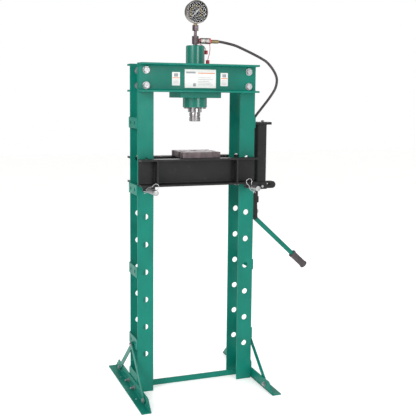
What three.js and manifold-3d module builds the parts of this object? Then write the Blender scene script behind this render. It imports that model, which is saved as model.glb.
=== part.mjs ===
// A floor-standing hydraulic shop press with a bottle ram, a hand pump and a height-adjustable bed.
// Millimetres. +X is the press's right, +Y its rear, +Z up.
// The origin is on the floor, centred between the two uprights.
import * as THREE from "three";
import { mergeVertices } from "three/addons/utils/BufferGeometryUtils.js";
import Module from "manifold-3d";

// ---- Driving dimensions ----
const GAP = 0.3; // air left between two pieces that touch

// Uprights: each is two flat members, front and rear, tied by straps on their outer edges.
const FRAME_HEIGHT = 1544;
const UPRIGHT_X = 252.5;
const MEMBER_WIDTH = 76;
const MEMBER_THICKNESS = 8;
const MEMBER_INNER_Y = 61;
const MEMBER_OUTER_Y = MEMBER_INNER_Y + MEMBER_THICKNESS;
const MEMBER_OUTER_X = UPRIGHT_X + MEMBER_WIDTH / 2;
const PIN_HOLE_RADIUS = 13.7;
const PIN_HOLE_FIRST_Z = 184.5;
const PIN_HOLE_PITCH = 131;
const PIN_HOLE_COUNT = 8;
const STRAP_THICKNESS = 5;
const STRAP_LEVELS = [
  [207, 258],
  [553, 603],
  [940, 988],
  [1247, 1297],
];
const STRAP_HOLE_Y = 34;
const STRAP_HOLE_RADIUS = 8.5;

// Base: crossbar, end plates, angle feet and diagonal braces.
const CROSSBAR_HEIGHT = 27;
const CROSSBAR_THICKNESS = 8;
const END_PLATE_Z = [5, 90];
const FOOT_BOLT_Y = 50;
const FOOT_BOLT_Z = 20;
const FOOT_LENGTH = 632;
const FOOT_WIDTH = 45;
const FOOT_HEIGHT = 50;
const FOOT_THICKNESS = 5;
const FOOT_CORNER = { length: 50, base: 6 }; // the wall's sloping ends
const FLOOR_HOLE_X = 321;
const FLOOR_HOLE_Y = 145;
const BRACE_WIDTH = 25;
const BRACE_THICKNESS = 4;
const BRACE_APEX_Z = 216;
const BRACE_END_Y = 223;
const BRACE_END_Z = 24;
const BRACE_HOLE_RADIUS = 5.5;
const BRACE_CLEARANCE = 1.2; // a washer between a brace and the piece behind it

// Head and bed channels share one rolled section.
const CHANNEL_HALF_LENGTH = 288;
const CHANNEL_DEPTH = 55.7;
const WEB_THICKNESS = 8;
const FLANGE_THICKNESS = 9;
const HEAD_Z = [1414, FRAME_HEIGHT];
const HEAD_BOLT_Z = [1443, 1512];
const HEAD_BOLT_RADIUS = 8;
const HEAD_WASHER = { radius: 17, thickness: 3 };
const HEAD_NUT = { across: 24, inner: 10, outer: 12, head: 9 };
const HEAD_BOLT_TAIL = 19;
const BED_Z = [983.5, 1108];
const BED_RIB_X = [
  [-214, -206],
  [178, 186],
];
const BED_TIE_X = [198, 206];

// Hydraulic ram unit.
const RAM_X = 9;
const BOLSTER = { x: [-92, 110], y: [-84, 84], z: [1388, 1413.7] };
const BARREL_RADIUS = 44;
const BARREL_BORE_RADIUS = 36;
const BARREL_TOP_Z = 1632;
const BARREL_CROWN = 20;
const GLAND_RADIUS = 57;
const GLAND_Z = [1343, 1387.7];
const RAM_RADIUS = 32.5;
const RAM_Z = [1320, 1600];
const PISTON_HEIGHT = 34;
const RAM_BORE_RADIUS = 18;
const NOSE_RADIUS = 26;
const NOSE_BOTTOM_Z = 1277;
const SPRING_RADIUS = 11;
const SPRING_WIRE_RADIUS = 2;
const SPRING_Z = [1356, 1609];
const SPRING_TURNS = 7;

// Pressure fittings and gauge, stacked on the ram unit's axis.
const PORT_BLOCK_Z = [1632.3, 1676];
const GAUGE_STEM_Z = [1676.3, 1734.7];
const GAUGE_Z = 1786;
const GAUGE_CASE_RADIUS = 51;
const GAUGE_BEZEL_RADIUS = 54;
const GAUGE_FRONT_Y = -26;
const GAUGE_BACK_Y = 14;
const GAUGE_WINDOW_RADIUS = 49;
const NEEDLE = { length: 32, tail: 19, halfWidth: 1.8, tailHalfWidth: 4.2, thickness: 0.9 };
const HOSE_PORT_Z = 1655;
const HOSE_RADIUS = 6.3;
const CAP_HEIGHT = 18;
const CAP_RADIUS = 9;
const CAP_STRAP_RADIUS = 2.1;

// Bed pins and their spring clips.
const PIN_RADIUS = 12.7;
const PIN_Z = PIN_HOLE_FIRST_Z + 6 * PIN_HOLE_PITCH;
const PIN_REAR_Y = 165;
const PIN_FRONT_Y = { left: -236, right: -208 };
const CLIP_Y = -142;
const CLIP_WIRE_RADIUS = 1.5;

// Arbor plates that lie on the bed.
const ARBOR_JOINT_X = 16;
const ARBOR_WIDTH = 94;
const ARBOR_FLARE = 10; // how much wider each plate is at the rear
const ARBOR_Y = [-82, 84];
const ARBOR_Z = [1108.3, 1135.8];
const ARBOR_EYE_RADIUS = 16.5;
const ARBOR_EYE_Y = 32;
const ARBOR_NOTCH = { vee: { y: 56, half: 16, depth: 28 }, slot: { y: -32, half: 12, depth: 21 } };

// Hand pump on the outer side of the right upright.
const TANK = { x: [318.5, 375.5], y: [-35, 35], z: [980.3, 1260.7], corner: 14 };
const SHELF = { x: 397, z: [1261, 1273.5] };
const FILLER = { x: 364, radius: 7.5, z: [1273.8, 1282] };
const PUMP_FLANGE_X = MEMBER_OUTER_X + STRAP_THICKNESS + 2 * GAP;
const PUMP_HALF_DEPTH = 40;
const TOP_BOLT = { y: 33.3, rise: 5 };
const PUMP_BASE_Z = [945, 980];
const PUMP_BLOCK_X = 376;
const HOOK = {
  halfDepth: 14,
  tip: 393,
  slotEnd: 405,
  slotZ: [963.5, 970],
  axis: [417.5, 0, 962.5],
  radius: 17.5,
};
const RELEASE_AXIS = [343, 0, 961];
const PUMP_BARREL_X = 334;
const PUMP_BARREL_RADIUS = 11;
const PUMP_BARREL_Z = [875, 945];
const COLLAR = { radius: 15, z: [875, 905] };
const PLUNGER_RADIUS = 6.5;
const PLUNGER_Z = [831, 915];
const FULCRUM = { x: 322, z: 806 };
const CHEEK_END_RADIUS = 15;
const HANDLE_SLOPE = THREE.MathUtils.degToRad(42.7);
const FULCRUM_PIN_RADIUS = 5;
const HANDLE_HUB_RADIUS = 14;
const HANDLE_RADIUS = 11.5;
const HANDLE_LENGTH = 385;
const GRIP_START = 297;
const GRIP_LENGTH = 100;
const GRIP_RADIUS = 20;

// ---- Materials ----
const paint = (color) => new THREE.MeshStandardMaterial({ color, roughness: 0.45, metalness: 0.1 });
const metal = (color, roughness) => new THREE.MeshStandardMaterial({ color, roughness, metalness: 0.9 });
const GREEN = "#128a78";
const BLACK = "#2b2b2c";

// ---- Solids ----
const wasm = await Module();
wasm.setup();

// A closed three.js geometry as a solid that can be joined and cut.
function solid(geometry) {
  const bare = geometry.index ? geometry.toNonIndexed() : geometry;
  bare.deleteAttribute("normal");
  bare.deleteAttribute("uv");
  const merged = mergeVertices(bare, 1e-3);
  const mesh = new wasm.Mesh({
    numProp: 3,
    vertProperties: merged.attributes.position.array,
    triVerts: new Uint32Array(merged.index.array),
  });
  return new wasm.Manifold(mesh);
}

function geometryOf(body) {
  const mesh = body.getMesh();
  const geometry = new THREE.BufferGeometry();
  geometry.setAttribute("position", new THREE.BufferAttribute(mesh.vertProperties, 3));
  geometry.setIndex(new THREE.BufferAttribute(mesh.triVerts, 1));
  const flat = geometry.toNonIndexed();
  flat.computeVertexNormals();
  return flat;
}

const join = (first, ...others) => others.reduce((whole, other) => whole.add(other), first);
const cut = (first, ...tools) => tools.reduce((rest, tool) => rest.subtract(tool), first);

function box([x0, x1], [y0, y1], [z0, z1]) {
  const block = new THREE.BoxGeometry(x1 - x0, y1 - y0, z1 - z0);
  return solid(block.translate((x0 + x1) / 2, (y0 + y1) / 2, (z0 + z1) / 2));
}

// Turns a geometry whose long axis is +Z so that the axis lies along X or Y.
const ALONG = {
  x: new THREE.Matrix4().makeBasis(
    new THREE.Vector3(0, 1, 0),
    new THREE.Vector3(0, 0, 1),
    new THREE.Vector3(1, 0, 0),
  ),
  y: new THREE.Matrix4().makeBasis(
    new THREE.Vector3(0, 0, 1),
    new THREE.Vector3(1, 0, 0),
    new THREE.Vector3(0, 1, 0),
  ),
  z: new THREE.Matrix4(),
};

// A round or many-sided bar along an axis. centre gives X, Y, Z; the axis's own value in it is unused.
function rod(axis, radius, [from, to], centre, sides = 16) {
  const bar = new THREE.CylinderGeometry(radius, radius, to - from, sides);
  bar.rotateX(Math.PI / 2).applyMatrix4(ALONG[axis]);
  const place = { x: centre[0], y: centre[1], z: centre[2] };
  place[axis] = (from + to) / 2;
  return solid(bar.translate(place.x, place.y, place.z));
}

// A hexagonal bar, given its size across the flats.
const hexBar = (axis, acrossFlats, span, centre) => rod(axis, acrossFlats / Math.sqrt(3), span, centre, 6);

// A body turned about an axis: profile points are [radius, distance along the axis].
function turned(axis, profile, centre, sides = 32) {
  const points = profile.map(([radius, along]) => new THREE.Vector2(radius, along));
  const lathe = new THREE.LatheGeometry(points, sides);
  lathe.rotateX(Math.PI / 2).applyMatrix4(ALONG[axis]);
  const place = { x: centre[0], y: centre[1], z: centre[2] };
  place[axis] = 0;
  return solid(lathe.translate(place.x, place.y, place.z));
}

// A flat outline with round corners, in its own plane.
function roundedOutline([u0, u1], [v0, v1], radius) {
  const outline = new THREE.Shape();
  outline.moveTo(u0 + radius, v0);
  outline.lineTo(u1 - radius, v0);
  outline.absarc(u1 - radius, v0 + radius, radius, -Math.PI / 2, 0);
  outline.lineTo(u1, v1 - radius);
  outline.absarc(u1 - radius, v1 - radius, radius, 0, Math.PI / 2);
  outline.lineTo(u0 + radius, v1);
  outline.absarc(u0 + radius, v1 - radius, radius, Math.PI / 2, Math.PI);
  outline.lineTo(u0, v0 + radius);
  outline.absarc(u0 + radius, v0 + radius, radius, Math.PI, 1.5 * Math.PI);
  return outline;
}

function extruded(outline, depth, curveSegments = 4) {
  return new THREE.ExtrudeGeometry(outline, { depth, bevelEnabled: false, curveSegments });
}

// A tube of constant section along a curve through the given points.
function tube(points, radius, steps, sides) {
  const path = new THREE.CatmullRomCurve3(points.map((point) => new THREE.Vector3(...point)));
  const section = new THREE.Shape();
  section.absarc(0, 0, radius, 0, 2 * Math.PI);
  const options = { steps, bevelEnabled: false, extrudePath: path, curveSegments: sides };
  return solid(new THREE.ExtrudeGeometry(section, options));
}

// ---- Scene graph ----
const press = new THREE.Group();

function assembly(mirrored = false) {
  const group = new THREE.Group();
  group.scale.x = mirrored ? -1 : 1;
  press.add(group);
  return group;
}

function place(group, name, body, material) {
  const mesh = new THREE.Mesh(geometryOf(body), material);
  mesh.name = name;
  group.add(mesh);
}

// The two sides of the frame: the left one is the right one mirrored.
const SIDES = { left: assembly(true), right: assembly() };
const centre = assembly();

// ---- Uprights ----
function uprightMember(facing) {
  const y = facing === "front" ? [-MEMBER_OUTER_Y, -MEMBER_INNER_Y] : [MEMBER_INNER_Y, MEMBER_OUTER_Y];
  const reach = [y[0] - 1, y[1] + 1];
  let member = box([UPRIGHT_X - MEMBER_WIDTH / 2, MEMBER_OUTER_X], y, [0, FRAME_HEIGHT]);
  for (let i = 0; i < PIN_HOLE_COUNT; i++) {
    const z = PIN_HOLE_FIRST_Z + i * PIN_HOLE_PITCH;
    member = cut(member, rod("y", PIN_HOLE_RADIUS, reach, [UPRIGHT_X, 0, z], 16));
  }
  for (const z of HEAD_BOLT_Z) {
    member = cut(member, rod("y", HEAD_BOLT_RADIUS + 0.5, reach, [UPRIGHT_X, 0, z], 12));
  }
  return member;
}

const STRAP_X = [MEMBER_OUTER_X + GAP, MEMBER_OUTER_X + GAP + STRAP_THICKNESS];

function strap([z0, z1], takesBrace) {
  const reach = [STRAP_X[0] - 1, STRAP_X[1] + 1];
  let plate = box(STRAP_X, [-MEMBER_OUTER_Y, MEMBER_OUTER_Y], [z0, z1]);
  for (const y of [-STRAP_HOLE_Y, STRAP_HOLE_Y]) {
    plate = cut(plate, rod("x", STRAP_HOLE_RADIUS, reach, [0, y, (z0 + z1) / 2], 12));
  }
  return takesBrace ? cut(plate, rod("x", BRACE_HOLE_RADIUS, reach, [0, 0, BRACE_APEX_Z], 10)) : plate;
}

function addUprights() {
  for (const [side, group] of Object.entries(SIDES)) {
    for (const facing of ["front", "rear"]) {
      place(group, `upright_${side}_${facing}`, uprightMember(facing), paint(GREEN));
    }
    STRAP_LEVELS.forEach((level, i) => {
      place(group, `strap_${side}_${i + 1}`, strap(level, i === 0), paint(GREEN));
    });
  }
}

// ---- Base ----
// The crossbar runs between the uprights' members and carries an upright plate at each end.
function baseCrossbar() {
  const bar = box(
    [-STRAP_X[0] - 1, STRAP_X[0] + 1],
    [-CROSSBAR_THICKNESS / 2, CROSSBAR_THICKNESS / 2],
    [0, CROSSBAR_HEIGHT],
  );
  const reach = [-STRAP_X[1] - 1, STRAP_X[1] + 1];
  const outline = roundedOutline([-MEMBER_OUTER_Y, MEMBER_OUTER_Y], END_PLATE_Z, 16);
  const ends = [-STRAP_X[1], STRAP_X[0]].map((x) => {
    const plate = extruded(outline, STRAP_THICKNESS).applyMatrix4(ALONG.x);
    return solid(plate.translate(x, 0, 0));
  });
  const holes = [-FOOT_BOLT_Y, FOOT_BOLT_Y].map((y) => rod("x", 6.5, reach, [0, y, FOOT_BOLT_Z], 12));
  return cut(join(bar, ...ends), ...holes);
}

const FOOT_X = [STRAP_X[1] + GAP, STRAP_X[1] + GAP + FOOT_THICKNESS];

function foot() {
  const half = FOOT_LENGTH / 2;
  const y = [-half, half];
  const outline = new THREE.Shape();
  outline.moveTo(-half, 0);
  outline.lineTo(half, 0);
  outline.lineTo(half, FOOT_CORNER.base);
  outline.lineTo(half - FOOT_CORNER.length, FOOT_HEIGHT);
  outline.lineTo(-half + FOOT_CORNER.length, FOOT_HEIGHT);
  outline.lineTo(-half, FOOT_CORNER.base);
  const wall = solid(extruded(outline, FOOT_THICKNESS).applyMatrix4(ALONG.x).translate(FOOT_X[0], 0, 0));
  const sole = box([FOOT_X[0], FOOT_X[0] + FOOT_WIDTH], y, [0, FOOT_THICKNESS]);
  const reach = [FOOT_X[0] - 1, FOOT_X[1] + 1];
  const holes = [-1, 1].flatMap((end) => [
    rod("z", 7, [-1, FOOT_THICKNESS + 1], [FLOOR_HOLE_X, end * FLOOR_HOLE_Y, 0], 16),
    rod("x", 6.5, reach, [0, end * FOOT_BOLT_Y, FOOT_BOLT_Z], 12),
    rod("x", BRACE_HOLE_RADIUS, reach, [0, end * BRACE_END_Y, BRACE_END_Z], 10),
  ]);
  return cut(join(wall, sole), ...holes);
}

// A flat bar from the bottom strap's bolt to the outer side of the foot's wall.
function brace(end, apexInnerX) {
  const apex = new THREE.Vector3(apexInnerX, 0, BRACE_APEX_Z);
  const tip = new THREE.Vector3(FOOT_X[1] + BRACE_CLEARANCE, end * BRACE_END_Y, BRACE_END_Z);
  const run = tip.clone().sub(apex);
  const half = BRACE_WIDTH / 2;
  const outline = roundedOutline([-half, run.length() + half], [-half, half], half - 1);
  for (const u of [0, run.length()]) {
    const hole = new THREE.Path();
    hole.absarc(u, 0, BRACE_HOLE_RADIUS, 0, 2 * Math.PI, true);
    outline.holes.push(hole);
  }
  const along = run.normalize();
  const outward = new THREE.Vector3(1, 0, 0);
  const across = new THREE.Vector3().crossVectors(outward, along).normalize();
  outward.crossVectors(along, across);
  const bar = extruded(outline, BRACE_THICKNESS);
  bar.applyMatrix4(new THREE.Matrix4().makeBasis(along, across, outward).setPosition(apex));
  return solid(bar);
}

function addBase() {
  place(centre, "base_crossbar", baseCrossbar(), paint(GREEN));
  for (const [side, group] of Object.entries(SIDES)) {
    place(group, `foot_${side}`, foot(), paint(GREEN));
    const apexX = STRAP_X[1] + BRACE_CLEARANCE;
    place(group, `brace_${side}_rear`, brace(1, apexX), paint(GREEN));
    place(group, `brace_${side}_front`, brace(-1, apexX + BRACE_THICKNESS + 2 * GAP), paint(GREEN));
  }
}

// ---- Channels of the head and the bed ----
// A channel whose web stands against the uprights and whose flanges point away from the press.
function channel([z0, z1]) {
  const x = [-CHANNEL_HALF_LENGTH, CHANNEL_HALF_LENGTH];
  const back = -MEMBER_OUTER_Y - GAP;
  const flangeY = [back - CHANNEL_DEPTH, back];
  return join(
    box(x, [back - WEB_THICKNESS, back], [z0, z1]),
    box(x, flangeY, [z0, z0 + FLANGE_THICKNESS]),
    box(x, flangeY, [z1 - FLANGE_THICKNESS, z1]),
  );
}

function headChannel() {
  const reach = [-MEMBER_OUTER_Y - WEB_THICKNESS - 2, -MEMBER_OUTER_Y];
  const holes = [-UPRIGHT_X, UPRIGHT_X].flatMap((x) =>
    HEAD_BOLT_Z.map((z) => rod("y", HEAD_BOLT_RADIUS + 0.5, reach, [x, 0, z], 12)),
  );
  return cut(channel(HEAD_Z), ...holes);
}

// A notched block under the flange that sits astride a bed pin.
function saddle(x) {
  const y = [-MEMBER_OUTER_Y - GAP - CHANNEL_DEPTH, -MEMBER_OUTER_Y - GAP - CHANNEL_DEPTH + WEB_THICKNESS];
  const reach = [y[0] - 1, y[1] + 1];
  const slot = [x - PIN_HOLE_RADIUS, x + PIN_HOLE_RADIUS];
  const block = box([x - 29, x + 29], y, [PIN_Z - 5.5, BED_Z[0]]);
  const notch = rod("y", PIN_HOLE_RADIUS, reach, [x, 0, PIN_Z], 20);
  return cut(block, notch, box(slot, reach, [PIN_Z - 10, PIN_Z]));
}

function bedChannel() {
  const back = -MEMBER_OUTER_Y - GAP;
  const ribs = BED_RIB_X.map((x) => box(x, [back - CHANNEL_DEPTH, back], BED_Z));
  return join(channel(BED_Z), ...ribs, saddle(-UPRIGHT_X), saddle(UPRIGHT_X));
}

// A through bolt that holds both head channels to an upright, with washers and nuts on both sides of
// each upright member.
function headBolt(z) {
  const at = [UPRIGHT_X, 0, z];
  const face = MEMBER_OUTER_Y + WEB_THICKNESS + 2 * GAP;
  const inside = MEMBER_INNER_Y - GAP;
  const { radius, thickness } = HEAD_WASHER;
  const { across, inner, outer, head } = HEAD_NUT;
  return join(
    rod("y", HEAD_BOLT_RADIUS, [-face, face + HEAD_BOLT_TAIL], at, 12),
    rod("y", radius, [-face - thickness, -face], at),
    hexBar("y", across, [-face - thickness - head, -face - thickness], at),
    rod("y", radius, [-inside, -inside + thickness], at),
    hexBar("y", across, [-inside + thickness, -inside + thickness + inner], at),
    rod("y", radius, [inside - thickness, inside], at),
    hexBar("y", across, [inside - thickness - inner, inside - thickness], at),
    rod("y", radius, [face, face + thickness], at),
    hexBar("y", across, [face + thickness, face + thickness + outer], at),
  );
}

function addHead() {
  const turnedRound = new THREE.Group();
  turnedRound.rotation.z = Math.PI;
  press.add(turnedRound);
  place(centre, "head_channel_front", headChannel(), paint(GREEN));
  place(turnedRound, "head_channel_rear", headChannel(), paint(GREEN));
  for (const [side, group] of Object.entries(SIDES)) {
    place(group, `head_bolt_${side}_lower`, headBolt(HEAD_BOLT_Z[0]), metal("#b9bcbd", 0.35));
    place(group, `head_bolt_${side}_upper`, headBolt(HEAD_BOLT_Z[1]), metal("#b9bcbd", 0.35));
  }
}

function addBed() {
  const turnedRound = new THREE.Group();
  turnedRound.rotation.z = Math.PI;
  press.add(turnedRound);
  place(centre, "bed_channel_front", bedChannel(), paint(BLACK));
  place(turnedRound, "bed_channel_rear", bedChannel(), paint(BLACK));
  for (const [side, group] of Object.entries(SIDES)) {
    const tie = box(BED_TIE_X, [-MEMBER_OUTER_Y, MEMBER_OUTER_Y], [BED_Z[0] + 12, BED_Z[1] - 12]);
    place(group, `bed_tie_${side}`, tie, paint(BLACK));
  }
}

// ---- Ram unit ----
const RAM_AXIS = [RAM_X, 0, 0];

function cylinderBarrel() {
  const bottom = GLAND_Z[1] + GAP;
  const profile = [
    [BARREL_BORE_RADIUS, bottom],
    [BARREL_RADIUS, bottom],
    [BARREL_RADIUS, BARREL_TOP_Z - 4],
    [BARREL_RADIUS - 4, BARREL_TOP_Z],
    [4, BARREL_TOP_Z],
    [4, BARREL_TOP_Z - BARREL_CROWN],
    [BARREL_BORE_RADIUS, BARREL_TOP_Z - BARREL_CROWN],
    [BARREL_BORE_RADIUS, bottom],
  ];
  return turned("z", profile, RAM_AXIS, 28);
}

function cylinderGland() {
  const profile = [
    [RAM_RADIUS + 0.4, GLAND_Z[0]],
    [GLAND_RADIUS - 2, GLAND_Z[0]],
    [GLAND_RADIUS, GLAND_Z[0] + 2],
    [GLAND_RADIUS, GLAND_Z[1]],
    [RAM_RADIUS + 0.4, GLAND_Z[1]],
    [RAM_RADIUS + 0.4, GLAND_Z[0]],
  ];
  return turned("z", profile, RAM_AXIS, 28);
}

// The chrome rod and its piston head, bored from the top for the return spring.
function ram() {
  const floor = RAM_Z[0] + 32;
  const profile = [
    [10.5, RAM_Z[0]],
    [RAM_RADIUS - 1.5, RAM_Z[0]],
    [RAM_RADIUS, RAM_Z[0] + 1.5],
    [RAM_RADIUS, RAM_Z[1] - PISTON_HEIGHT],
    [BARREL_BORE_RADIUS - 0.4, RAM_Z[1] - PISTON_HEIGHT],
    [BARREL_BORE_RADIUS - 0.4, RAM_Z[1]],
    [RAM_BORE_RADIUS, RAM_Z[1]],
    [RAM_BORE_RADIUS, floor],
    [0, floor],
    [0, RAM_Z[0] + 22],
    [10.5, RAM_Z[0] + 22],
    [10.5, RAM_Z[0]],
  ];
  return turned("z", profile, RAM_AXIS, 28);
}

function ramNose() {
  const top = RAM_Z[0] - GAP;
  const profile = [
    [0, NOSE_BOTTOM_Z],
    [NOSE_RADIUS - 2, NOSE_BOTTOM_Z],
    [NOSE_RADIUS, NOSE_BOTTOM_Z + 2],
    [NOSE_RADIUS, 1298],
    [NOSE_RADIUS - 2.5, 1298],
    [NOSE_RADIUS - 2.5, 1302],
    [NOSE_RADIUS, 1302],
    [NOSE_RADIUS, top - 2],
    [NOSE_RADIUS - 2, top],
    [10, top],
    [10, top + 20],
    [0, top + 20],
  ];
  return turned("z", profile, RAM_AXIS, 28);
}

function returnSpring() {
  const perTurn = 7;
  const points = [];
  for (let i = 0; i <= SPRING_TURNS * perTurn; i++) {
    const angle = (i / perTurn) * 2 * Math.PI;
    const rise = (i / (SPRING_TURNS * perTurn)) * (SPRING_Z[1] - SPRING_Z[0]);
    points.push([
      RAM_X + SPRING_RADIUS * Math.cos(angle),
      SPRING_RADIUS * Math.sin(angle),
      SPRING_Z[0] + rise,
    ]);
  }
  return tube(points, SPRING_WIRE_RADIUS, SPRING_TURNS * perTurn, 2);
}

function addRamUnit() {
  const well = rod("z", BARREL_RADIUS + 0.6, [BOLSTER.z[0] - 1, BOLSTER.z[1] + 1], RAM_AXIS, 28);
  place(centre, "bolster_plate", cut(box(BOLSTER.x, BOLSTER.y, BOLSTER.z), well), paint(GREEN));
  place(centre, "cylinder_barrel", cylinderBarrel(), paint(GREEN));
  place(centre, "cylinder_gland", cylinderGland(), paint(GREEN));
  place(centre, "ram", ram(), metal("#d8dadc", 0.12));
  place(centre, "ram_nose", ramNose(), metal("#9a9da0", 0.3));
  place(centre, "return_spring", returnSpring(), metal("#77797a", 0.4));
}

// ---- Pressure fittings, gauge and hose ----
function portBlock() {
  return join(
    rod("z", 10, [PORT_BLOCK_Z[0], 1640], RAM_AXIS, 16),
    rod("z", 16.5, [1639, PORT_BLOCK_Z[1]], RAM_AXIS, 8),
  );
}

function gaugeStem() {
  return join(
    rod("z", 7, [GAUGE_STEM_Z[0], 1701], RAM_AXIS, 16),
    hexBar("z", 27, [1700, 1727], RAM_AXIS),
    rod("z", 9, [1726, GAUGE_STEM_Z[1]], RAM_AXIS, 16),
  );
}

const GAUGE_AXIS = [RAM_X, 0, GAUGE_Z];

function gaugeCase() {
  const floor = -8;
  const profile = [
    [0, floor],
    [GAUGE_WINDOW_RADIUS, floor],
    [GAUGE_WINDOW_RADIUS, GAUGE_FRONT_Y],
    [GAUGE_BEZEL_RADIUS - 2, GAUGE_FRONT_Y],
    [GAUGE_BEZEL_RADIUS, GAUGE_FRONT_Y + 2],
    [GAUGE_BEZEL_RADIUS, GAUGE_FRONT_Y + 9],
    [GAUGE_CASE_RADIUS, GAUGE_FRONT_Y + 10],
    [GAUGE_CASE_RADIUS, GAUGE_BACK_Y - 4],
    [GAUGE_CASE_RADIUS - 4, GAUGE_BACK_Y],
    [0, GAUGE_BACK_Y],
  ];
  return turned("y", profile, GAUGE_AXIS, 36);
}

// The pointer lies at the bottom left of the dial at zero pressure.
function gaugeNeedle() {
  const { length, tail, halfWidth, tailHalfWidth, thickness } = NEEDLE;
  const blade = new THREE.Shape();
  blade.moveTo(length, 0);
  blade.lineTo(0, halfWidth);
  blade.lineTo(-tail + 6, halfWidth);
  blade.lineTo(-tail + 3, tailHalfWidth);
  blade.lineTo(-tail, tailHalfWidth - 1);
  blade.lineTo(-tail, 1 - tailHalfWidth);
  blade.lineTo(-tail + 3, -tailHalfWidth);
  blade.lineTo(-tail + 6, -halfWidth);
  blade.lineTo(0, -halfWidth);
  blade.closePath();
  const pointer = extruded(blade, thickness);
  pointer.rotateX(Math.PI / 2).rotateY(THREE.MathUtils.degToRad(135));
  pointer.translate(RAM_X, -12, GAUGE_Z);
  return join(solid(pointer), rod("y", 3.6, [-14.5, -9.8], GAUGE_AXIS, 14));
}

// The hose nipple screwed in the port block and the quick coupler on it.
function hoseCoupler() {
  const at = [0, 0, HOSE_PORT_Z];
  return join(
    rod("x", 8, [RAM_X + 16.9, 34], at, 12),
    hexBar("x", 24, [33, 57.6], at),
    rod("x", 9.5, [57, 59], at, 12),
    hexBar("x", 25.5, [58.4, 76], at),
    rod("x", 11.5, [75, 86], at, 20),
  );
}

function hose() {
  const route = [
    [125.2, 0, 1653.5],
    [135, 0, 1653.3],
    [169, 0, 1648],
    [214, 0, 1638],
    [259, 0, 1621],
    [305, 0, 1602],
    [351, 0, 1581],
    [382, 0, 1563],
    [414, 0, 1530],
    [433, 0, 1497],
    [437, 0, 1469],
    [430, 4, 1435],
    [413, 14, 1401],
    [398, 28, 1373],
    [374, 42, 1336],
    [344, 56, 1290],
    [328, 62, 1240],
    [320, 62, 1180],
    [318, 61, 1110],
    [322, 60, 1040],
    [331.5, 58, 1005],
    [332, 58, 988],
    [332, 58, 974.9],
  ];
  return tube(route, HOSE_RADIUS, 38, 5);
}

// A moulded dust cap in one piece: a ring round the coupling, a thin strap and the cap hanging on it.
function dustCap(ring, strap, capAt) {
  const [x, inner, width] = ring;
  const axis = [0, 0, HOSE_PORT_Z];
  const band = cut(
    rod("x", inner + 3, [x, x + width], axis, 20),
    rod("x", inner, [x - 1, x + width + 1], axis, 20),
  );
  const top = capAt[2] + CAP_HEIGHT;
  const link = tube([...strap, [capAt[0], capAt[1], top - 2]], CAP_STRAP_RADIUS, 8, 3);
  return join(band, link, rod("z", CAP_RADIUS, [capAt[2], top], capAt));
}

const FRONT_CAP = {
  ring: [77, 11.9, 8],
  strap: [
    [81, 0, HOSE_PORT_Z - 13],
    [83, 0, HOSE_PORT_Z - 37],
    [80, 0, HOSE_PORT_Z - 60],
    [74, 0, HOSE_PORT_Z - 78],
  ],
  at: [72, 0, 1548],
};
const REAR_CAP = {
  ring: [28, 8.4, 3],
  strap: [
    [29.5, 10, HOSE_PORT_Z - 2],
    [29.5, 21, HOSE_PORT_Z - 7],
    [43, 31, HOSE_PORT_Z - 13],
    [60, 34, HOSE_PORT_Z - 20],
    [70, 28, HOSE_PORT_Z - 33],
  ],
  at: [71, 22, 1594],
};

function addFittings() {
  place(centre, "port_block", portBlock(), metal("#3a3a3c", 0.4));
  place(centre, "gauge_stem", gaugeStem(), metal("#b39a5e", 0.35));
  place(centre, "gauge_case", gaugeCase(), metal("#b8babb", 0.3));
  place(centre, "gauge_dial", rod("y", 48.6, [-9.3, -8.3], GAUGE_AXIS, 36), paint("#1c1c1c"));
  place(centre, "gauge_needle", gaugeNeedle(), paint("#f2f2f2"));
  place(centre, "gauge_lens", rod("y", 48.6, [-22.5, -20.5], GAUGE_AXIS, 36), paint("#dfe8ea"));
  place(centre, "hose_coupler", hoseCoupler(), metal("#8f8d86", 0.35));
  const ferrule = rod("x", 9, [86.3, 124.7], [0, 0, HOSE_PORT_Z - 1.5], 16);
  place(centre, "hose_ferrule", ferrule, metal("#b0a06a", 0.35));
  place(centre, "hose", hose(), paint("#3b3739"));
  place(centre, "dust_cap_front", dustCap(FRONT_CAP.ring, FRONT_CAP.strap, FRONT_CAP.at), paint("#b5303a"));
  place(centre, "dust_cap_rear", dustCap(REAR_CAP.ring, REAR_CAP.strap, REAR_CAP.at), paint("#b5303a"));
}

// ---- Bed pins and clips ----
function bedPin(frontY) {
  const profile = [
    [0, frontY],
    [PIN_RADIUS - 2, frontY],
    [PIN_RADIUS, frontY + 2],
    [PIN_RADIUS, PIN_REAR_Y - 2],
    [PIN_RADIUS - 2, PIN_REAR_Y],
    [0, PIN_REAR_Y],
  ];
  return turned("y", profile, [0, 0, 0], 24);
}

// A spring-wire clip: one straight leg through the pin, an eye, and a leg that hugs the pin.
// Its own frame has the pin's centre at 0, 0 and the eye upwards.
function pinClip() {
  const outline = [
    [0, -31],
    [0, -8],
    [0, 12],
    [2, 19],
    [9, 27],
    [9, 38],
    [0, 45],
    [-11, 44],
    [-18, 36],
    [-17, 25],
    [-13, 16],
    [-15.2, 6],
    [-15.4, -4],
    [-11.5, -13],
    [-5, -19.5],
    [-9, -29],
  ];
  const wire = outline.map(([x, z]) => [x, CLIP_Y, z]);
  return tube(wire, CLIP_WIRE_RADIUS, 34, 3);
}

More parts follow.
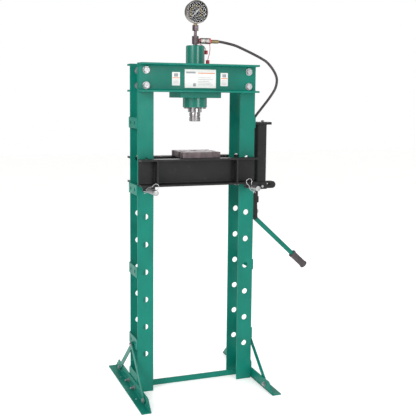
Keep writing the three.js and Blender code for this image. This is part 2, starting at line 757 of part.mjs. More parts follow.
function addPins() {
  const lean = { left: THREE.MathUtils.degToRad(-68), right: THREE.MathUtils.degToRad(27) };
  for (const side of ["left", "right"]) {
    const bore = rod("z", 2.4, [-14, 14], [0, CLIP_Y, 0], 10);
    const seat = new THREE.Group();
    seat.position.set(side === "left" ? -UPRIGHT_X : UPRIGHT_X, 0, PIN_Z);
    seat.rotation.y = -lean[side];
    press.add(seat);
    place(seat, `bed_pin_${side}`, cut(bedPin(PIN_FRONT_Y[side]), bore), metal("#b9bcbd", 0.3));
    place(seat, `pin_clip_${side}`, pinClip(), metal("#c3c6c8", 0.25));
  }
}

// ---- Arbor plates ----
// The left plate; the right one is its mirror image about the joint between them.
function arborPlate() {
  const [front, rear] = ARBOR_Y;
  const edge = (y) => -ARBOR_WIDTH - (ARBOR_FLARE * (y - front)) / (rear - front);
  const outline = new THREE.Shape();
  const inner = -GAP;
  outline.moveTo(edge(front), front);
  outline.lineTo(inner, front);
  outline.lineTo(inner, ARBOR_EYE_Y - ARBOR_EYE_RADIUS);
  outline.absarc(inner, ARBOR_EYE_Y, ARBOR_EYE_RADIUS, -Math.PI / 2, Math.PI / 2, true);
  outline.lineTo(inner, rear);
  outline.lineTo(edge(rear), rear);
  const { vee, slot } = ARBOR_NOTCH;
  outline.lineTo(edge(vee.y + vee.half), vee.y + vee.half);
  outline.lineTo(edge(vee.y) + vee.depth, vee.y);
  outline.lineTo(edge(vee.y - vee.half), vee.y - vee.half);
  outline.lineTo(edge(slot.y + slot.half), slot.y + slot.half);
  outline.lineTo(edge(slot.y) + slot.depth, slot.y + slot.half);
  outline.absarc(edge(slot.y) + slot.depth, slot.y, slot.half, Math.PI / 2, -Math.PI / 2, true);
  outline.lineTo(edge(slot.y - slot.half), slot.y - slot.half);
  outline.closePath();
  const plate = extruded(outline, ARBOR_Z[1] - ARBOR_Z[0], 8);
  return solid(plate.translate(0, 0, ARBOR_Z[0]));
}

function addArborPlates() {
  for (const side of ["left", "right"]) {
    const seat = new THREE.Group();
    seat.position.x = ARBOR_JOINT_X;
    seat.scale.x = side === "left" ? 1 : -1;
    press.add(seat);
    place(seat, `arbor_plate_${side}`, arborPlate(), metal("#8a8285", 0.5));
  }
}

// ---- Hand pump ----
function pumpTopPlate() {
  const y = [-PUMP_HALF_DEPTH, PUMP_HALF_DEPTH];
  const [z0, z1] = STRAP_LEVELS[3];
  const flange = box([PUMP_FLANGE_X, PUMP_FLANGE_X + 6], y, [z0, z1]);
  const shelf = box([PUMP_FLANGE_X, SHELF.x], y, SHELF.z);
  const reach = [PUMP_FLANGE_X - 1, PUMP_FLANGE_X + 7];
  const holes = [-1, 1].map((end) =>
    rod("x", 5.5, reach, [0, end * TOP_BOLT.y, (z0 + z1) / 2 + TOP_BOLT.rise], 12),
  );
  return cut(join(flange, shelf), ...holes);
}

// The pump's body: a bracket against the upright, the valve block, a hooked lip,
// the pump barrel under it and the two plates that carry the handle's fulcrum.
function pumpBase() {
  const y = [-PUMP_HALF_DEPTH, PUMP_HALF_DEPTH];
  const hookY = [-HOOK.halfDepth, HOOK.halfDepth];
  const flange = box([PUMP_FLANGE_X, PUMP_FLANGE_X + 6], y, STRAP_LEVELS[2]);
  const block = box([PUMP_FLANGE_X, PUMP_BLOCK_X], y, PUMP_BASE_Z);
  const tongue = box([PUMP_BLOCK_X - 1, HOOK.axis[0]], hookY, [PUMP_BASE_Z[0], HOOK.slotZ[0]]);
  const curl = cut(
    join(
      rod("y", HOOK.radius, hookY, HOOK.axis, 24),
      box([HOOK.tip, HOOK.axis[0]], hookY, [HOOK.slotZ[1], PUMP_BASE_Z[1]]),
    ),
    box([HOOK.tip, HOOK.slotEnd], [hookY[0] - 1, hookY[1] + 1], HOOK.slotZ),
  );
  const axis = [PUMP_BARREL_X, 0, 0];
  const barrel = rod("z", PUMP_BARREL_RADIUS, [PUMP_BARREL_Z[0], PUMP_BARREL_Z[1] + 1], axis, 20);
  const collar = rod("z", COLLAR.radius, COLLAR.z, axis, 20);
  const bore = rod("z", PLUNGER_RADIUS + 0.4, [PUMP_BARREL_Z[0] - 1, 936], axis, 16);
  const fulcrum = [FULCRUM.x, 0, FULCRUM.z];
  const cheeks = [-1, 1].map((end) => {
    const cheekY = end < 0 ? [-20, -16] : [16, 20];
    const web = box([FULCRUM.x - 11, FULCRUM.x + 9], cheekY, [FULCRUM.z, PUMP_BASE_Z[0] + 1]);
    return join(web, rod("y", CHEEK_END_RADIUS, cheekY, fulcrum, 20));
  });
  const fulcrumPin = rod("y", FULCRUM_PIN_RADIUS, [-23, 23], fulcrum, 16);
  const hosePort = join(
    box([318, 346], [PUMP_HALF_DEPTH - 1, 70], [948, 968]),
    rod("z", 9, [967, 974.3], [332, 58, 0], 12),
  );
  const body = join(flange, block, tongue, curl, barrel, collar, ...cheeks, fulcrumPin, hosePort);
  return cut(body, bore);
}

function pumpPlunger() {
  const knuckle = rod("y", 12.5, [-9, 9], [PUMP_BARREL_X, 0, PLUNGER_Z[0]], 20);
  return join(rod("z", PLUNGER_RADIUS, PLUNGER_Z, [PUMP_BARREL_X, 0, 0], 16), knuckle);
}

// The handle's own frame runs along +X from the fulcrum.
function pumpHandle() {
  const hub = rod("y", HANDLE_HUB_RADIUS, [-12, 12], [0, 0, 0], 20);
  const bar = rod("x", HANDLE_RADIUS, [0, HANDLE_LENGTH], [0, 0, 0], 16);
  return cut(join(hub, bar), rod("y", FULCRUM_PIN_RADIUS + 0.4, [-13, 13], [0, 0, 0], 16));
}

function handleGrip() {
  const bore = HANDLE_RADIUS + 0.4;
  const end = GRIP_START + GRIP_LENGTH;
  const profile = [
    [bore, GRIP_START],
    [GRIP_RADIUS - 2, GRIP_START],
    [GRIP_RADIUS, GRIP_START + 2],
    [GRIP_RADIUS, GRIP_START + 10],
    [GRIP_RADIUS - 2, GRIP_START + 16],
    [GRIP_RADIUS - 2, end - 18],
    [GRIP_RADIUS, end - 12],
    [GRIP_RADIUS, end - 4],
    [GRIP_RADIUS - 4, end],
    [0, end],
    [0, HANDLE_LENGTH + 1],
    [bore, HANDLE_LENGTH + 1],
    [bore, GRIP_START],
  ];
  return turned("x", profile, [0, 0, 0], 16);
}

function addPump() {
  const tank = extruded(roundedOutline(TANK.x, TANK.y, TANK.corner), TANK.z[1] - TANK.z[0], 6);
  place(centre, "pump_tank", solid(tank.translate(0, 0, TANK.z[0])), paint(BLACK));
  place(centre, "pump_top_plate", pumpTopPlate(), paint(BLACK));
  const cap = rod("z", FILLER.radius, FILLER.z, [FILLER.x, 0, 0], 20);
  place(centre, "filler_cap", cap, metal("#9c9ea0", 0.4));
  place(centre, "pump_base", pumpBase(), paint(BLACK));
  place(centre, "pump_plunger", pumpPlunger(), metal("#9a9da0", 0.3));
  const knob = join(
    rod("y", 4, [-50, -PUMP_HALF_DEPTH - GAP], RELEASE_AXIS, 12),
    rod("y", 6, [-60, -49], RELEASE_AXIS, 18),
  );
  place(centre, "release_knob", knob, metal("#b9bcbd", 0.35));

  const lever = new THREE.Group();
  lever.position.set(FULCRUM.x, 0, FULCRUM.z);
  lever.rotation.y = HANDLE_SLOPE;
  press.add(lever);
  place(lever, "pump_handle", pumpHandle(), paint(GREEN));
  place(lever, "handle_grip", handleGrip(), paint("#4b4547"));
}

addUprights();
addBase();
addHead();
addRamUnit();
addFittings();
addBed();
addPins();
addArborPlates();
addPump();

export default press;
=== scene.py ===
import math

import bmesh
import bpy
from mathutils import Matrix, Vector


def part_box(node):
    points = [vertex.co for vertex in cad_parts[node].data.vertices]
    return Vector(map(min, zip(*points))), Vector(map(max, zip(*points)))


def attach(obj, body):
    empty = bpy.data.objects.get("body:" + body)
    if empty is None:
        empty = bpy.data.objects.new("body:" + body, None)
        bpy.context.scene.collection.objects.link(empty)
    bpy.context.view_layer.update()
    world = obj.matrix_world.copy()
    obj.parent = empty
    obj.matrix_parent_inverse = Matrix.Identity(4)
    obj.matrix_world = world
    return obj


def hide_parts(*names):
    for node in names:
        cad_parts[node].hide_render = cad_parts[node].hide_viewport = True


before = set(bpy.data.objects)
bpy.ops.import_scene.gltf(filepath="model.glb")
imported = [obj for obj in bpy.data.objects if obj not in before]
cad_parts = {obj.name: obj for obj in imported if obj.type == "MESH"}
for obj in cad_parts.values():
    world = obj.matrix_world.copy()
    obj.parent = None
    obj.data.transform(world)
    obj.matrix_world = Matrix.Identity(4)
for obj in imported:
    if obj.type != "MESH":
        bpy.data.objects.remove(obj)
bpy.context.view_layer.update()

MM = 0.001


def mm(*values):
    """Millimetres in metres."""
    return tuple(value * MM for value in values)


AXES = {
    "x": Matrix(((0, 0, 1, 0), (1, 0, 0, 0), (0, 1, 0, 0), (0, 0, 0, 1))),
    "y": Matrix(((1, 0, 0, 0), (0, 0, -1, 0), (0, 1, 0, 0), (0, 0, 0, 1))),
    "z": Matrix.Identity(4),
}


# ---- Camera ----
def add_camera():
    """A long lens, front left of the press and looking slightly down."""
    yaw, pitch, roll = math.radians(20.717), math.radians(6.736), math.radians(0.563)
    data = bpy.data.cameras.new("camera")
    data.sensor_width = 36
    data.lens = 64.95
    data.shift_y = -0.0577
    camera = bpy.data.objects.new("camera", data)
    add_to_scene(camera)
    level = Vector((math.sin(yaw), math.cos(yaw), 0)) * math.cos(pitch)
    ahead = level - Vector((0, 0, math.sin(pitch)))
    right = Vector((math.cos(yaw), -math.sin(yaw), 0))
    up = right.cross(ahead)
    tilted_right = math.cos(roll) * right + math.sin(roll) * up
    tilted_up = math.cos(roll) * up - math.sin(roll) * right
    pose = Matrix((tilted_right, tilted_up, -ahead)).transposed().to_4x4()
    pose.translation = Vector((-1.1961, -3.3735, 1.4004))
    camera.matrix_world = pose
    bpy.context.scene.camera = camera


def add_to_scene(thing):
    bpy.context.scene.collection.objects.link(thing)


# ---- Node materials ----
def put(node, **values):
    """Sets constants on a node's sockets. An underscore in a name stands for a space."""
    for socket, value in values.items():
        node.inputs[socket.replace("_", " ")].default_value = value


class Shader:
    """A Principled material whose colour, roughness and bump are driven by procedural nodes."""

    def __init__(self, name, colour, roughness, metallic=0.0, **sockets):
        self.material = bpy.data.materials.new(name)
        self.material.use_nodes = True
        self.tree = self.material.node_tree
        self.surface = self.tree.nodes["Principled BSDF"]
        put(self.surface, Base_Color=(*colour, 1), Roughness=roughness, Metallic=metallic, **sockets)
        self.colour = colour
        self.coordinates = self.node("ShaderNodeTexCoord").outputs["Object"]
        self.last_normal = None

    def node(self, kind, **settings):
        made = self.tree.nodes.new(kind)
        for key, value in settings.items():
            setattr(made, key, value)
        return made

    def link(self, source, target):
        self.tree.links.new(source, target)

    def stretched(self, scale):
        mapping = self.node("ShaderNodeMapping")
        put(mapping, Scale=scale)
        self.link(self.coordinates, mapping.inputs["Vector"])
        return mapping.outputs["Vector"]

    def noise(self, scale, detail=4.0, stretch=(1, 1, 1)):
        texture = self.node("ShaderNodeTexNoise")
        put(texture, Scale=scale, Detail=detail)
        self.link(self.stretched(stretch), texture.inputs["Vector"])
        return texture.outputs["Fac"]

    def rings(self, scale, direction="Z", distortion=0.0):
        texture = self.node("ShaderNodeTexWave", wave_type="BANDS", bands_direction=direction)
        put(texture, Scale=scale, Distortion=distortion)
        self.link(self.coordinates, texture.inputs["Vector"])
        return texture.outputs["Fac"]

    def ranged(self, factor, low, high, source=(0.3, 0.7)):
        span = self.node("ShaderNodeMapRange")
        put(span, From_Min=source[0], From_Max=source[1], To_Min=low, To_Max=high)
        self.link(factor, span.inputs["Value"])
        return span.outputs["Result"]

    def mottle(self, factor, dark, light):
        """Varies the base colour between two multiples of itself."""
        ramp = self.node("ShaderNodeValToRGB")
        ramp.color_ramp.elements[0].position = 0.3
        ramp.color_ramp.elements[1].position = 0.7
        for element, amount in zip(ramp.color_ramp.elements, (dark, light)):
            element.color = (*[min(1, channel * amount) for channel in self.colour], 1)
        self.link(factor, ramp.inputs["Fac"])
        self.link(ramp.outputs["Color"], self.surface.inputs["Base Color"])
        self.last_colour = ramp.outputs["Color"]

    def overlay(self, factor, colour):
        """Lays a second colour over the first one where the factor is high."""
        mix = self.node("ShaderNodeMix", data_type="RGBA")
        self.link(factor, mix.inputs["Factor"])
        self.link(self.last_colour, mix.inputs["A"])
        mix.inputs["B"].default_value = (*colour, 1)
        self.link(mix.outputs["Result"], self.surface.inputs["Base Color"])
        self.last_colour = mix.outputs["Result"]

    def roughen(self, factor, low, high):
        self.link(self.ranged(factor, low, high), self.surface.inputs["Roughness"])

    def bump(self, factor, strength, depth):
        bump = self.node("ShaderNodeBump")
        put(bump, Strength=strength, Distance=depth)
        self.link(factor, bump.inputs["Height"])
        if self.last_normal is not None:
            self.link(self.last_normal, bump.inputs["Normal"])
        self.link(bump.outputs["Normal"], self.surface.inputs["Normal"])
        self.last_normal = bump.outputs["Normal"]


def enamel(name, colour, roughness, dust, coat=0.05):
    """Sprayed machine enamel: a little orange peel, cloudy gloss and a trace of shop dust."""
    gloss = {"Coat_Weight": coat, "Coat_Roughness": 0.2, "Specular_IOR_Level": 0.2}
    shader = Shader(name, colour, roughness, **gloss)
    shader.mottle(shader.noise(7, 5), 0.86, 1.14)
    shader.overlay(shader.ranged(shader.noise(38, 9), 0, dust, (0.58, 0.8)), (0.5, 0.52, 0.5))
    shader.roughen(shader.noise(16, 6), roughness - 0.07, roughness + 0.1)
    shader.bump(shader.noise(260, 2), 0.22, 0.0004)
    shader.bump(shader.noise(1500, 1), 0.1, 0.0002)
    return shader.material


def bare_metal(name, colour, roughness, grain, stretch=(1, 1, 1), metallic=1.0):
    """Bare or plated metal with a fine directional grain and faint stains."""
    shader = Shader(name, colour, roughness, metallic)
    shader.mottle(shader.noise(24, 6), 0.82, 1.1)
    shader.roughen(shader.noise(grain, 5, stretch), roughness - 0.08, roughness + 0.14)
    shader.bump(shader.noise(grain * 3, 3, stretch), 0.12, 0.0002)
    return shader.material


def chrome():
    shader = Shader("chrome", (0.50, 0.49, 0.50), 0.16, 1.0)
    shader.mottle(shader.noise(30, 3), 0.94, 1.04)
    shader.roughen(shader.noise(180, 4, (1, 1, 0.04)), 0.05, 0.15)
    shader.bump(shader.rings(700), 0.03, 0.0001)
    return shader.material


def turned_steel():
    shader = Shader("turned_steel", (0.40, 0.38, 0.39), 0.32, 1.0)
    shader.mottle(shader.noise(40, 4), 0.85, 1.1)
    shader.roughen(shader.noise(120, 4, (1, 1, 12)), 0.2, 0.38)
    shader.bump(shader.rings(420), 0.12, 0.0002)
    return shader.material


def ground_plate():
    """Flame-cut plate, ground on its faces: cloudy brown-grey steel with fine scratches."""
    shader = Shader("ground_plate", (0.140, 0.108, 0.116), 0.42, 0.5)
    shader.mottle(shader.noise(30, 8), 0.6, 1.35)
    shader.overlay(shader.ranged(shader.noise(70, 10), 0, 0.45, (0.55, 0.75)), (0.16, 0.12, 0.10))
    shader.roughen(shader.noise(90, 6, (1, 14, 1)), 0.3, 0.55)
    shader.bump(shader.noise(240, 4, (1, 18, 1)), 0.25, 0.0003)
    return shader.material


def hose_cover():
    """Black synthetic rubber with the faint weave of its braid showing through."""
    shader = Shader("hose_cover", (0.050, 0.042, 0.046), 0.5)
    shader.mottle(shader.noise(45, 6), 0.75, 1.35)
    shader.roughen(shader.noise(60, 5), 0.42, 0.62)
    shader.bump(shader.rings(150, "DIAGONAL", distortion=1.5), 0.35, 0.0004)
    shader.bump(shader.noise(900, 2), 0.15, 0.0002)
    return shader.material


def moulded(name, colour, roughness, pits=500):
    """Moulded plastic or rubber with a fine pitted skin."""
    shader = Shader(name, colour, roughness)
    shader.mottle(shader.noise(50, 5), 0.85, 1.15)
    shader.roughen(shader.noise(80, 4), roughness - 0.06, roughness + 0.1)
    shader.bump(shader.noise(pits, 2), 0.18, 0.0002)
    return shader.material


def printed(name, colour):
    """Ink or vinyl film, slightly uneven in tone and gloss."""
    shader = Shader(name, colour, 0.38)
    shader.mottle(shader.noise(90, 3), 0.94, 1.04)
    shader.roughen(shader.noise(120, 3), 0.32, 0.46)
    shader.bump(shader.noise(700, 1), 0.05, 0.0001)
    return shader.material


def window_glass():
    shader = Shader("window_glass", (0.96, 0.98, 0.98), 0.03, Transmission_Weight=1.0, IOR=1.2)
    shader.roughen(shader.noise(60, 3), 0.0, 0.03)
    return shader.material


def floor_material():
    glow = {"Emission_Color": (1, 1, 1, 1), "Emission_Strength": 0.31}
    shader = Shader("studio_floor", (0.90, 0.90, 0.89), 0.7, **glow)
    shader.mottle(shader.noise(3, 3), 0.985, 1.015)
    return shader.material


def make_materials():
    return {
        "green": enamel("green_enamel", (0.001, 0.172, 0.126), 0.42, 0.015),
        "gloss_green": enamel("gloss_green_enamel", (0.001, 0.165, 0.120), 0.30, 0.01, 0.9),
        "black": enamel("black_enamel", (0.017, 0.017, 0.0175), 0.42, 0.04),
        "chrome": chrome(),
        "turned": turned_steel(),
        "zinc": bare_metal("zinc_plate", (0.46, 0.46, 0.47), 0.40, 160),
        "wire": bare_metal("spring_wire", (0.66, 0.66, 0.68), 0.24, 220),
        "plate": ground_plate(),
        "dark_steel": bare_metal("dark_fitting", (0.17, 0.135, 0.145), 0.36, 140),
        "coupler": bare_metal("coupler_steel", (0.36, 0.34, 0.32), 0.34, 150),
        "brass": bare_metal("brass", (0.42, 0.33, 0.17), 0.34, 140),
        "bezel": bare_metal("bezel_steel", (0.30, 0.28, 0.265), 0.30, 200),
        "dial": moulded("dial_black", (0.022, 0.016, 0.018), 0.45, 900),
        "white": printed("white_print", (0.80, 0.80, 0.78)),
        "yellow": printed("yellow_print", (0.62, 0.42, 0.05)),
        "orange": printed("orange_print", (0.75, 0.22, 0.07)),
        "grey": printed("grey_print", (0.30, 0.31, 0.33)),
        "glass": window_glass(),
        "hose": hose_cover(),
        "red": moulded("red_cap", (0.50, 0.02, 0.035), 0.4),
        "pink": moulded("red_strap", (0.55, 0.10, 0.13), 0.45),
        "grip": moulded("grip_rubber", (0.062, 0.050, 0.054), 0.55),
        "floor": floor_material(),
    }


# ---- Outlines, in a piece's own plane, in metres ----
def arc(u, v, radius, start, end, steps=12):
    """Points on an arc, angles in degrees."""
    turns = [math.radians(start + (end - start) * i / steps) for i in range(steps + 1)]
    return [(u + radius * math.cos(a), v + radius * math.sin(a)) for a in turns]


def circle(u, v, radius, steps=56):
    return arc(u, v, radius, 0, 360 * (steps - 1) / steps, steps - 1)


def rectangle(u, v, radius=0.0):
    """A rectangle over the spans u and v, with round corners if a radius is given."""
    (u0, u1), (v0, v1) = u, v
    if radius <= 0:
        return [(u0, v0), (u1, v0), (u1, v1), (u0, v1)]
    return (
        arc(u1 - radius, v0 + radius, radius, -90, 0)
        + arc(u1 - radius, v1 - radius, radius, 0, 90)
        + arc(u0 + radius, v1 - radius, radius, 90, 180)
        + arc(u0 + radius, v0 + radius, radius, 180, 270)
    )


def softened(points, radii, steps=5):
    """A closed outline whose corners are rounded, each by its own radius."""
    out = []
    count = len(points)
    for i, (point, radius) in enumerate(zip(points, radii)):
        corner = Vector(point)
        if radius <= 0:
            out.append(tuple(corner))
            continue
        back = (Vector(points[i - 1]) - corner).normalized()
        on = (Vector(points[(i + 1) % count]) - corner).normalized()
        reach = radius / math.tan(back.angle(on) / 2)
        for k in range(steps + 1):
            t = k / steps
            start, end = corner + back * reach, corner + on * reach
            out.append(tuple(start * (1 - t) ** 2 + corner * 2 * t * (1 - t) + end * t**2))
    return out


# ---- Mesh builders: each returns a mesh in the frame's coordinates ----
def plate(outline, holes, axis, span, edge=0.0008):
    """A flat piece with rounded edges and real holes, across a span of one axis."""
    curve = bpy.data.curves.new("outline", "CURVE")
    curve.dimensions = "2D"
    curve.fill_mode = "BOTH"
    curve.extrude = (span[1] - span[0]) / 2 - edge
    curve.bevel_depth = edge
    curve.bevel_resolution = 2
    curve.offset = -edge
    for ring in [outline, *holes]:
        spline = curve.splines.new("POLY")
        spline.points.add(len(ring) - 1)
        spline.use_cyclic_u = True
        for point, (u, v) in zip(spline.points, ring):
            point.co = (u, v, 0, 1)
    mesh = baked(curve)
    middle = (span[0] + span[1]) / 2
    shift = Matrix.Translation((0, 0, -middle if axis == "y" else middle))
    mesh.transform(AXES[axis] @ shift)
    return mesh


def finished(shape, name):
    """Turns a bmesh into a mesh with its faces outward."""
    bmesh.ops.recalc_face_normals(shape, faces=shape.faces)
    mesh = bpy.data.meshes.new(name)
    shape.to_mesh(mesh)
    shape.free()
    return mesh


def skin(shape, rings):
    """Joins closed rings of vertices with quads and caps both ends."""
    for lower, upper in zip(rings, rings[1:]):
        for i in range(len(lower)):
            j = (i + 1) % len(lower)
            shape.faces.new((lower[i], lower[j], upper[j], upper[i]))
    shape.faces.new(rings[0])
    shape.faces.new(rings[-1])


def stand_on(mesh, axis, centre):
    """Lays a mesh built along Z on the axis, and moves it to its centre."""
    turn = {"x": Matrix.Rotation(math.pi / 2, 4, "Y"), "y": Matrix.Rotation(-math.pi / 2, 4, "X")}
    mesh.transform(Matrix.Translation(centre) @ turn.get(axis, Matrix.Identity(4)))
    return mesh


def baked(curve):
    """The mesh of a curve or text, which is then thrown away."""
    carrier = bpy.data.objects.new("carrier", curve)
    add_to_scene(carrier)
    bpy.context.view_layer.update()
    mesh = bpy.data.meshes.new_from_object(
        carrier.evaluated_get(bpy.context.evaluated_depsgraph_get())
    )
    bpy.data.objects.remove(carrier)
    bpy.data.curves.remove(curve)
    return mesh


def turned(profile, axis, centre, segments=80):
    """A body turned about an axis. The profile's points are (radius, distance along the axis)."""
    shape = bmesh.new()
    rings = []
    for radius, along in profile:
        if radius < 1e-7:
            rings.append([shape.verts.new((0, 0, along))] * segments)
            continue
        turns = [2 * math.pi * i / segments for i in range(segments)]
        round_points = [(radius * math.cos(a), radius * math.sin(a), along) for a in turns]
        rings.append([shape.verts.new(point) for point in round_points])
    for lower, upper in zip(rings, rings[1:] + rings[:1]):
        if lower[0] is lower[1] and upper[0] is upper[1]:
            continue
        for i in range(segments):
            j = (i + 1) % segments
            corners = [lower[i], lower[j], upper[j], upper[i]]
            shape.faces.new(list(dict.fromkeys(corners)))
    return stand_on(finished(shape, "turned"), axis, centre)


def in_mm(points):
    """Points given in millimetres, in metres."""
    return [(u * MM, v * MM) for u, v in points]


def from_level(level, points):
    """Profile points: a radius and a height over the level, both given in millimetres."""
    return [(radius * MM, level + height * MM) for radius, height in points]


def disc(radius, span, axis, centre, edge=0.0008, hole=0.0, segments=80):
    """A plain turned disc, washer or rod with broken edges."""
    low, high = span
    bevel = [
        (radius - edge, low),
        (radius - edge * 0.3, low + edge * 0.3),
        (radius, low + edge),
        (radius, high - edge),
        (radius - edge * 0.3, high - edge * 0.3),
        (radius - edge, high),
    ]
    return turned([(hole, low), *bevel, (hole, high)], axis, centre, segments)


def hexagon(across, span, axis, centre, chamfer_low=True, chamfer_high=True, sides=6, per_side=8):
    """A hexagonal or many-sided nut or head with turned chamfers."""
    low, high = span
    flat = across / 2
    shape = bmesh.new()
    total = sides * per_side
    levels = []
    for end, chamfered in ((0, chamfer_low), (1, chamfer_high)):
        inner, outer = [], []
        for i in range(total):
            a = 2 * math.pi * i / total
            local = (a % (2 * math.pi / sides)) - math.pi / sides
            radius = flat / math.cos(local)
            drop = (radius - flat * 0.985) * 0.58 if chamfered else 0.00015
            z = low + drop if end == 0 else high - drop
            outer.append(shape.verts.new((radius * math.cos(a), radius * math.sin(a), z)))
            rim = flat * 0.97 if chamfered else radius - 0.0002
            z = low if end == 0 else high
            inner.append(shape.verts.new((rim * math.cos(a), rim * math.sin(a), z)))
        levels += [inner, outer] if end == 0 else [outer, inner]
    skin(shape, levels)
    return stand_on(finished(shape, "hexagon"), axis, centre)


def smooth_path(points, per_span=6):
    """Points along the Catmull-Rom curve through the given points."""
    knots = [Vector(p) for p in points]
    knots = [2 * knots[0] - knots[1], *knots, 2 * knots[-1] - knots[-2]]
    out = []
    for a, b, c, d in zip(knots, knots[1:], knots[2:], knots[3:]):
        for i in range(per_span):
            t = i / per_span
            out.append(
                0.5 * (2 * b + (c - a) * t + (2 * a - 5 * b + 4 * c - d) * t**2
                       + (3 * b - a - 3 * c + d) * t**3)
            )
    out.append(knots[-2])
    return out


def swept(path, radius, sides=16, flatten=1.0, ripple=None):
    """A round or flattened bar along a path. ripple gives a factor on the radius at each point."""
    shape = bmesh.new()
    rings = []
    normal = None
    for i, point in enumerate(path):
        ahead = (path[min(i + 1, len(path) - 1)] - path[max(i - 1, 0)]).normalized()
        if normal is None:
            normal = ahead.orthogonal().normalized()
        normal = (normal - ahead * normal.dot(ahead)).normalized()
        side = ahead.cross(normal)
        size = radius * (ripple(i) if ripple else 1)
        ring = []
        for k in range(sides):
            a = 2 * math.pi * k / sides
            ring.append(
                shape.verts.new(point + size * (normal * math.cos(a) + side * math.sin(a) * flatten))
            )
        rings.append(ring)
    skin(shape, rings)
    return finished(shape, "swept")


def bead(start, end, radius=0.0028):
    """A weld bead: a run of small overlapping ripples."""
    start, end = Vector(start), Vector(end)
    count = max(8, int((end - start).length / 0.0011))
    path = [start.lerp(end, i / count) for i in range(count + 1)]
    return swept(path, radius, 10, ripple=lambda i: 0.86 + 0.14 * abs(math.sin(i * 0.9)))


def piece(name, meshes, material, body, slot, node=None):
    """Joins the meshes into one named object that rides on a body."""
    whole = bmesh.new()
    for mesh in meshes:
        whole.from_mesh(mesh)
        bpy.data.meshes.remove(mesh)
    bmesh.ops.remove_doubles(whole, verts=whole.verts, dist=2e-6)
    data = bpy.data.meshes.new(name)
    whole.to_mesh(data)
    whole.free()
    data.materials.append(MATERIALS[material])
    data.shade_smooth()
    data.set_sharp_from_angle(angle=math.radians(38))
    made = bpy.data.objects.new(name, data)
    add_to_scene(made)
    weighted = made.modifiers.new("weighted_normals", "WEIGHTED_NORMAL")
    weighted.keep_sharp = True
    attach(made, body)
    if node:
        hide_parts(node)
    return made


def green_piece(name, meshes, node=None):
    piece(name, meshes, "green", "frame", "green_paint", node)


def spans(node):
    """A CAD node's extent along X, Y and Z."""
    low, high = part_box(node)
    return [(low[i], high[i]) for i in range(3)]


def middle(span):
    return (span[0] + span[1]) / 2


def keep_node(name, material, edge=0.0008):
    """Keeps a CAD node's shape, breaks its edges and gives it a real material."""
    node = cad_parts[name]
    node.data.materials.clear()
    node.data.materials.append(MATERIALS[material])
    weld = node.modifiers.new("weld", "WELD")
    weld.merge_threshold = 1e-6
    bevel = node.modifiers.new("broken_edges", "BEVEL")
    bevel.width = edge
    bevel.segments = 2
    bevel.limit_method = "ANGLE"
    bevel.angle_limit = math.radians(50)
    bevel.harden_normals = False
    for face in node.data.polygons:
        face.use_smooth = True
    node.data.set_sharp_from_angle(angle=math.radians(38))
    weighted = node.modifiers.new("weighted_normals", "WEIGHTED_NORMAL")
    weighted.keep_sharp = True


def both_sides():
    return (("left", -1), ("right", 1))


# ---- Frame ----
PIN_HOLE_FIRST = 184.5 * MM
PIN_HOLE_PITCH = 131 * MM
PIN_HOLE_RADIUS = 13.7 * MM
PIN_HOLES = 8
HEAD_BOLT_HEIGHTS = mm(1443, 1512)
STRAP_HOLE_Y = 34 * MM
STRAP_HOLE_RADIUS = 8.5 * MM
UPRIGHT_X = 252.5 * MM
ZINC = ("zinc", "frame", "zinc_steel")


def make_uprights():
    for side, sign in both_sides():
        for facing in ("front", "rear"):
            node = f"upright_{side}_{facing}"
            x, y, z = spans(node)
            axis_x = middle(x)
            holes = [
                circle(axis_x, PIN_HOLE_FIRST + i * PIN_HOLE_PITCH, PIN_HOLE_RADIUS)
                for i in range(PIN_HOLES)
            ]
            holes += [circle(axis_x, height, STRAP_HOLE_RADIUS, 32) for height in HEAD_BOLT_HEIGHTS]
            flat = plate(rectangle(x, z), holes, "y", y, 1.1 * MM)
            green_piece(f"member_{side}_{facing}", [flat], node)
        for i in range(1, 5):
            make_strap(f"strap_{side}_{i}", sign, i == 1)


def make_strap(node, sign, takes_brace):
    x, y, z = spans(node)
    holes = [circle(at, middle(z), STRAP_HOLE_RADIUS, 32) for at in (-STRAP_HOLE_Y, STRAP_HOLE_Y)]
    if takes_brace:
        holes.append(circle(0, 216 * MM, 5.5 * MM, 24))
    flat = plate(rectangle(y, z, 2 * MM), holes, "x", x)
    green_piece(f"{node}_plate", [flat], node)
    edge = x[0] if sign > 0 else x[1]
    inset = 4 * MM
    beads = []
    for height in (z[0], z[1]):
        for at in (y[0], y[1]):
            inner = at - math.copysign(8 * MM, at)
            beads.append(bead((edge, at, height), (edge, inner, height), 1.8 * MM))
    for at in (y[0] + 0.6 * MM, y[1] - 0.6 * MM):
        beads.append(bead((edge, at, z[0] + inset), (edge, at, z[1] - inset), 1.8 * MM))
    green_piece(f"{node}_welds", beads)


def make_base():
    x, y, z = spans("base_crossbar")
    thickness = 5 * MM
    holes = [circle(at, 20 * MM, 6.5 * MM, 32) for at in mm(-50, 50)]
    parts = [plate(rectangle(x, (0, 27 * MM)), [], "y", mm(-4, 4))]
    for span in ((x[0], x[0] + thickness), (x[1] - thickness, x[1])):
        parts.append(plate(rectangle(y, mm(5, 90), 16 * MM), holes, "x", span))
    green_piece("crossbar", parts, "base_crossbar")
    for side, sign in both_sides():
        at = sign * (abs(x[1]) - thickness)
        beads = [bead((at, s * 5 * MM, 6 * MM), (at, s * 5 * MM, 27 * MM)) for s in (-1, 1)]
        green_piece(f"crossbar_welds_{side}", beads)
        make_foot(side, sign)
        make_foot_bolts(side, sign)
        for facing in ("front", "rear"):
            keep_node(f"brace_{side}_{facing}", "green", 0.6 * MM)


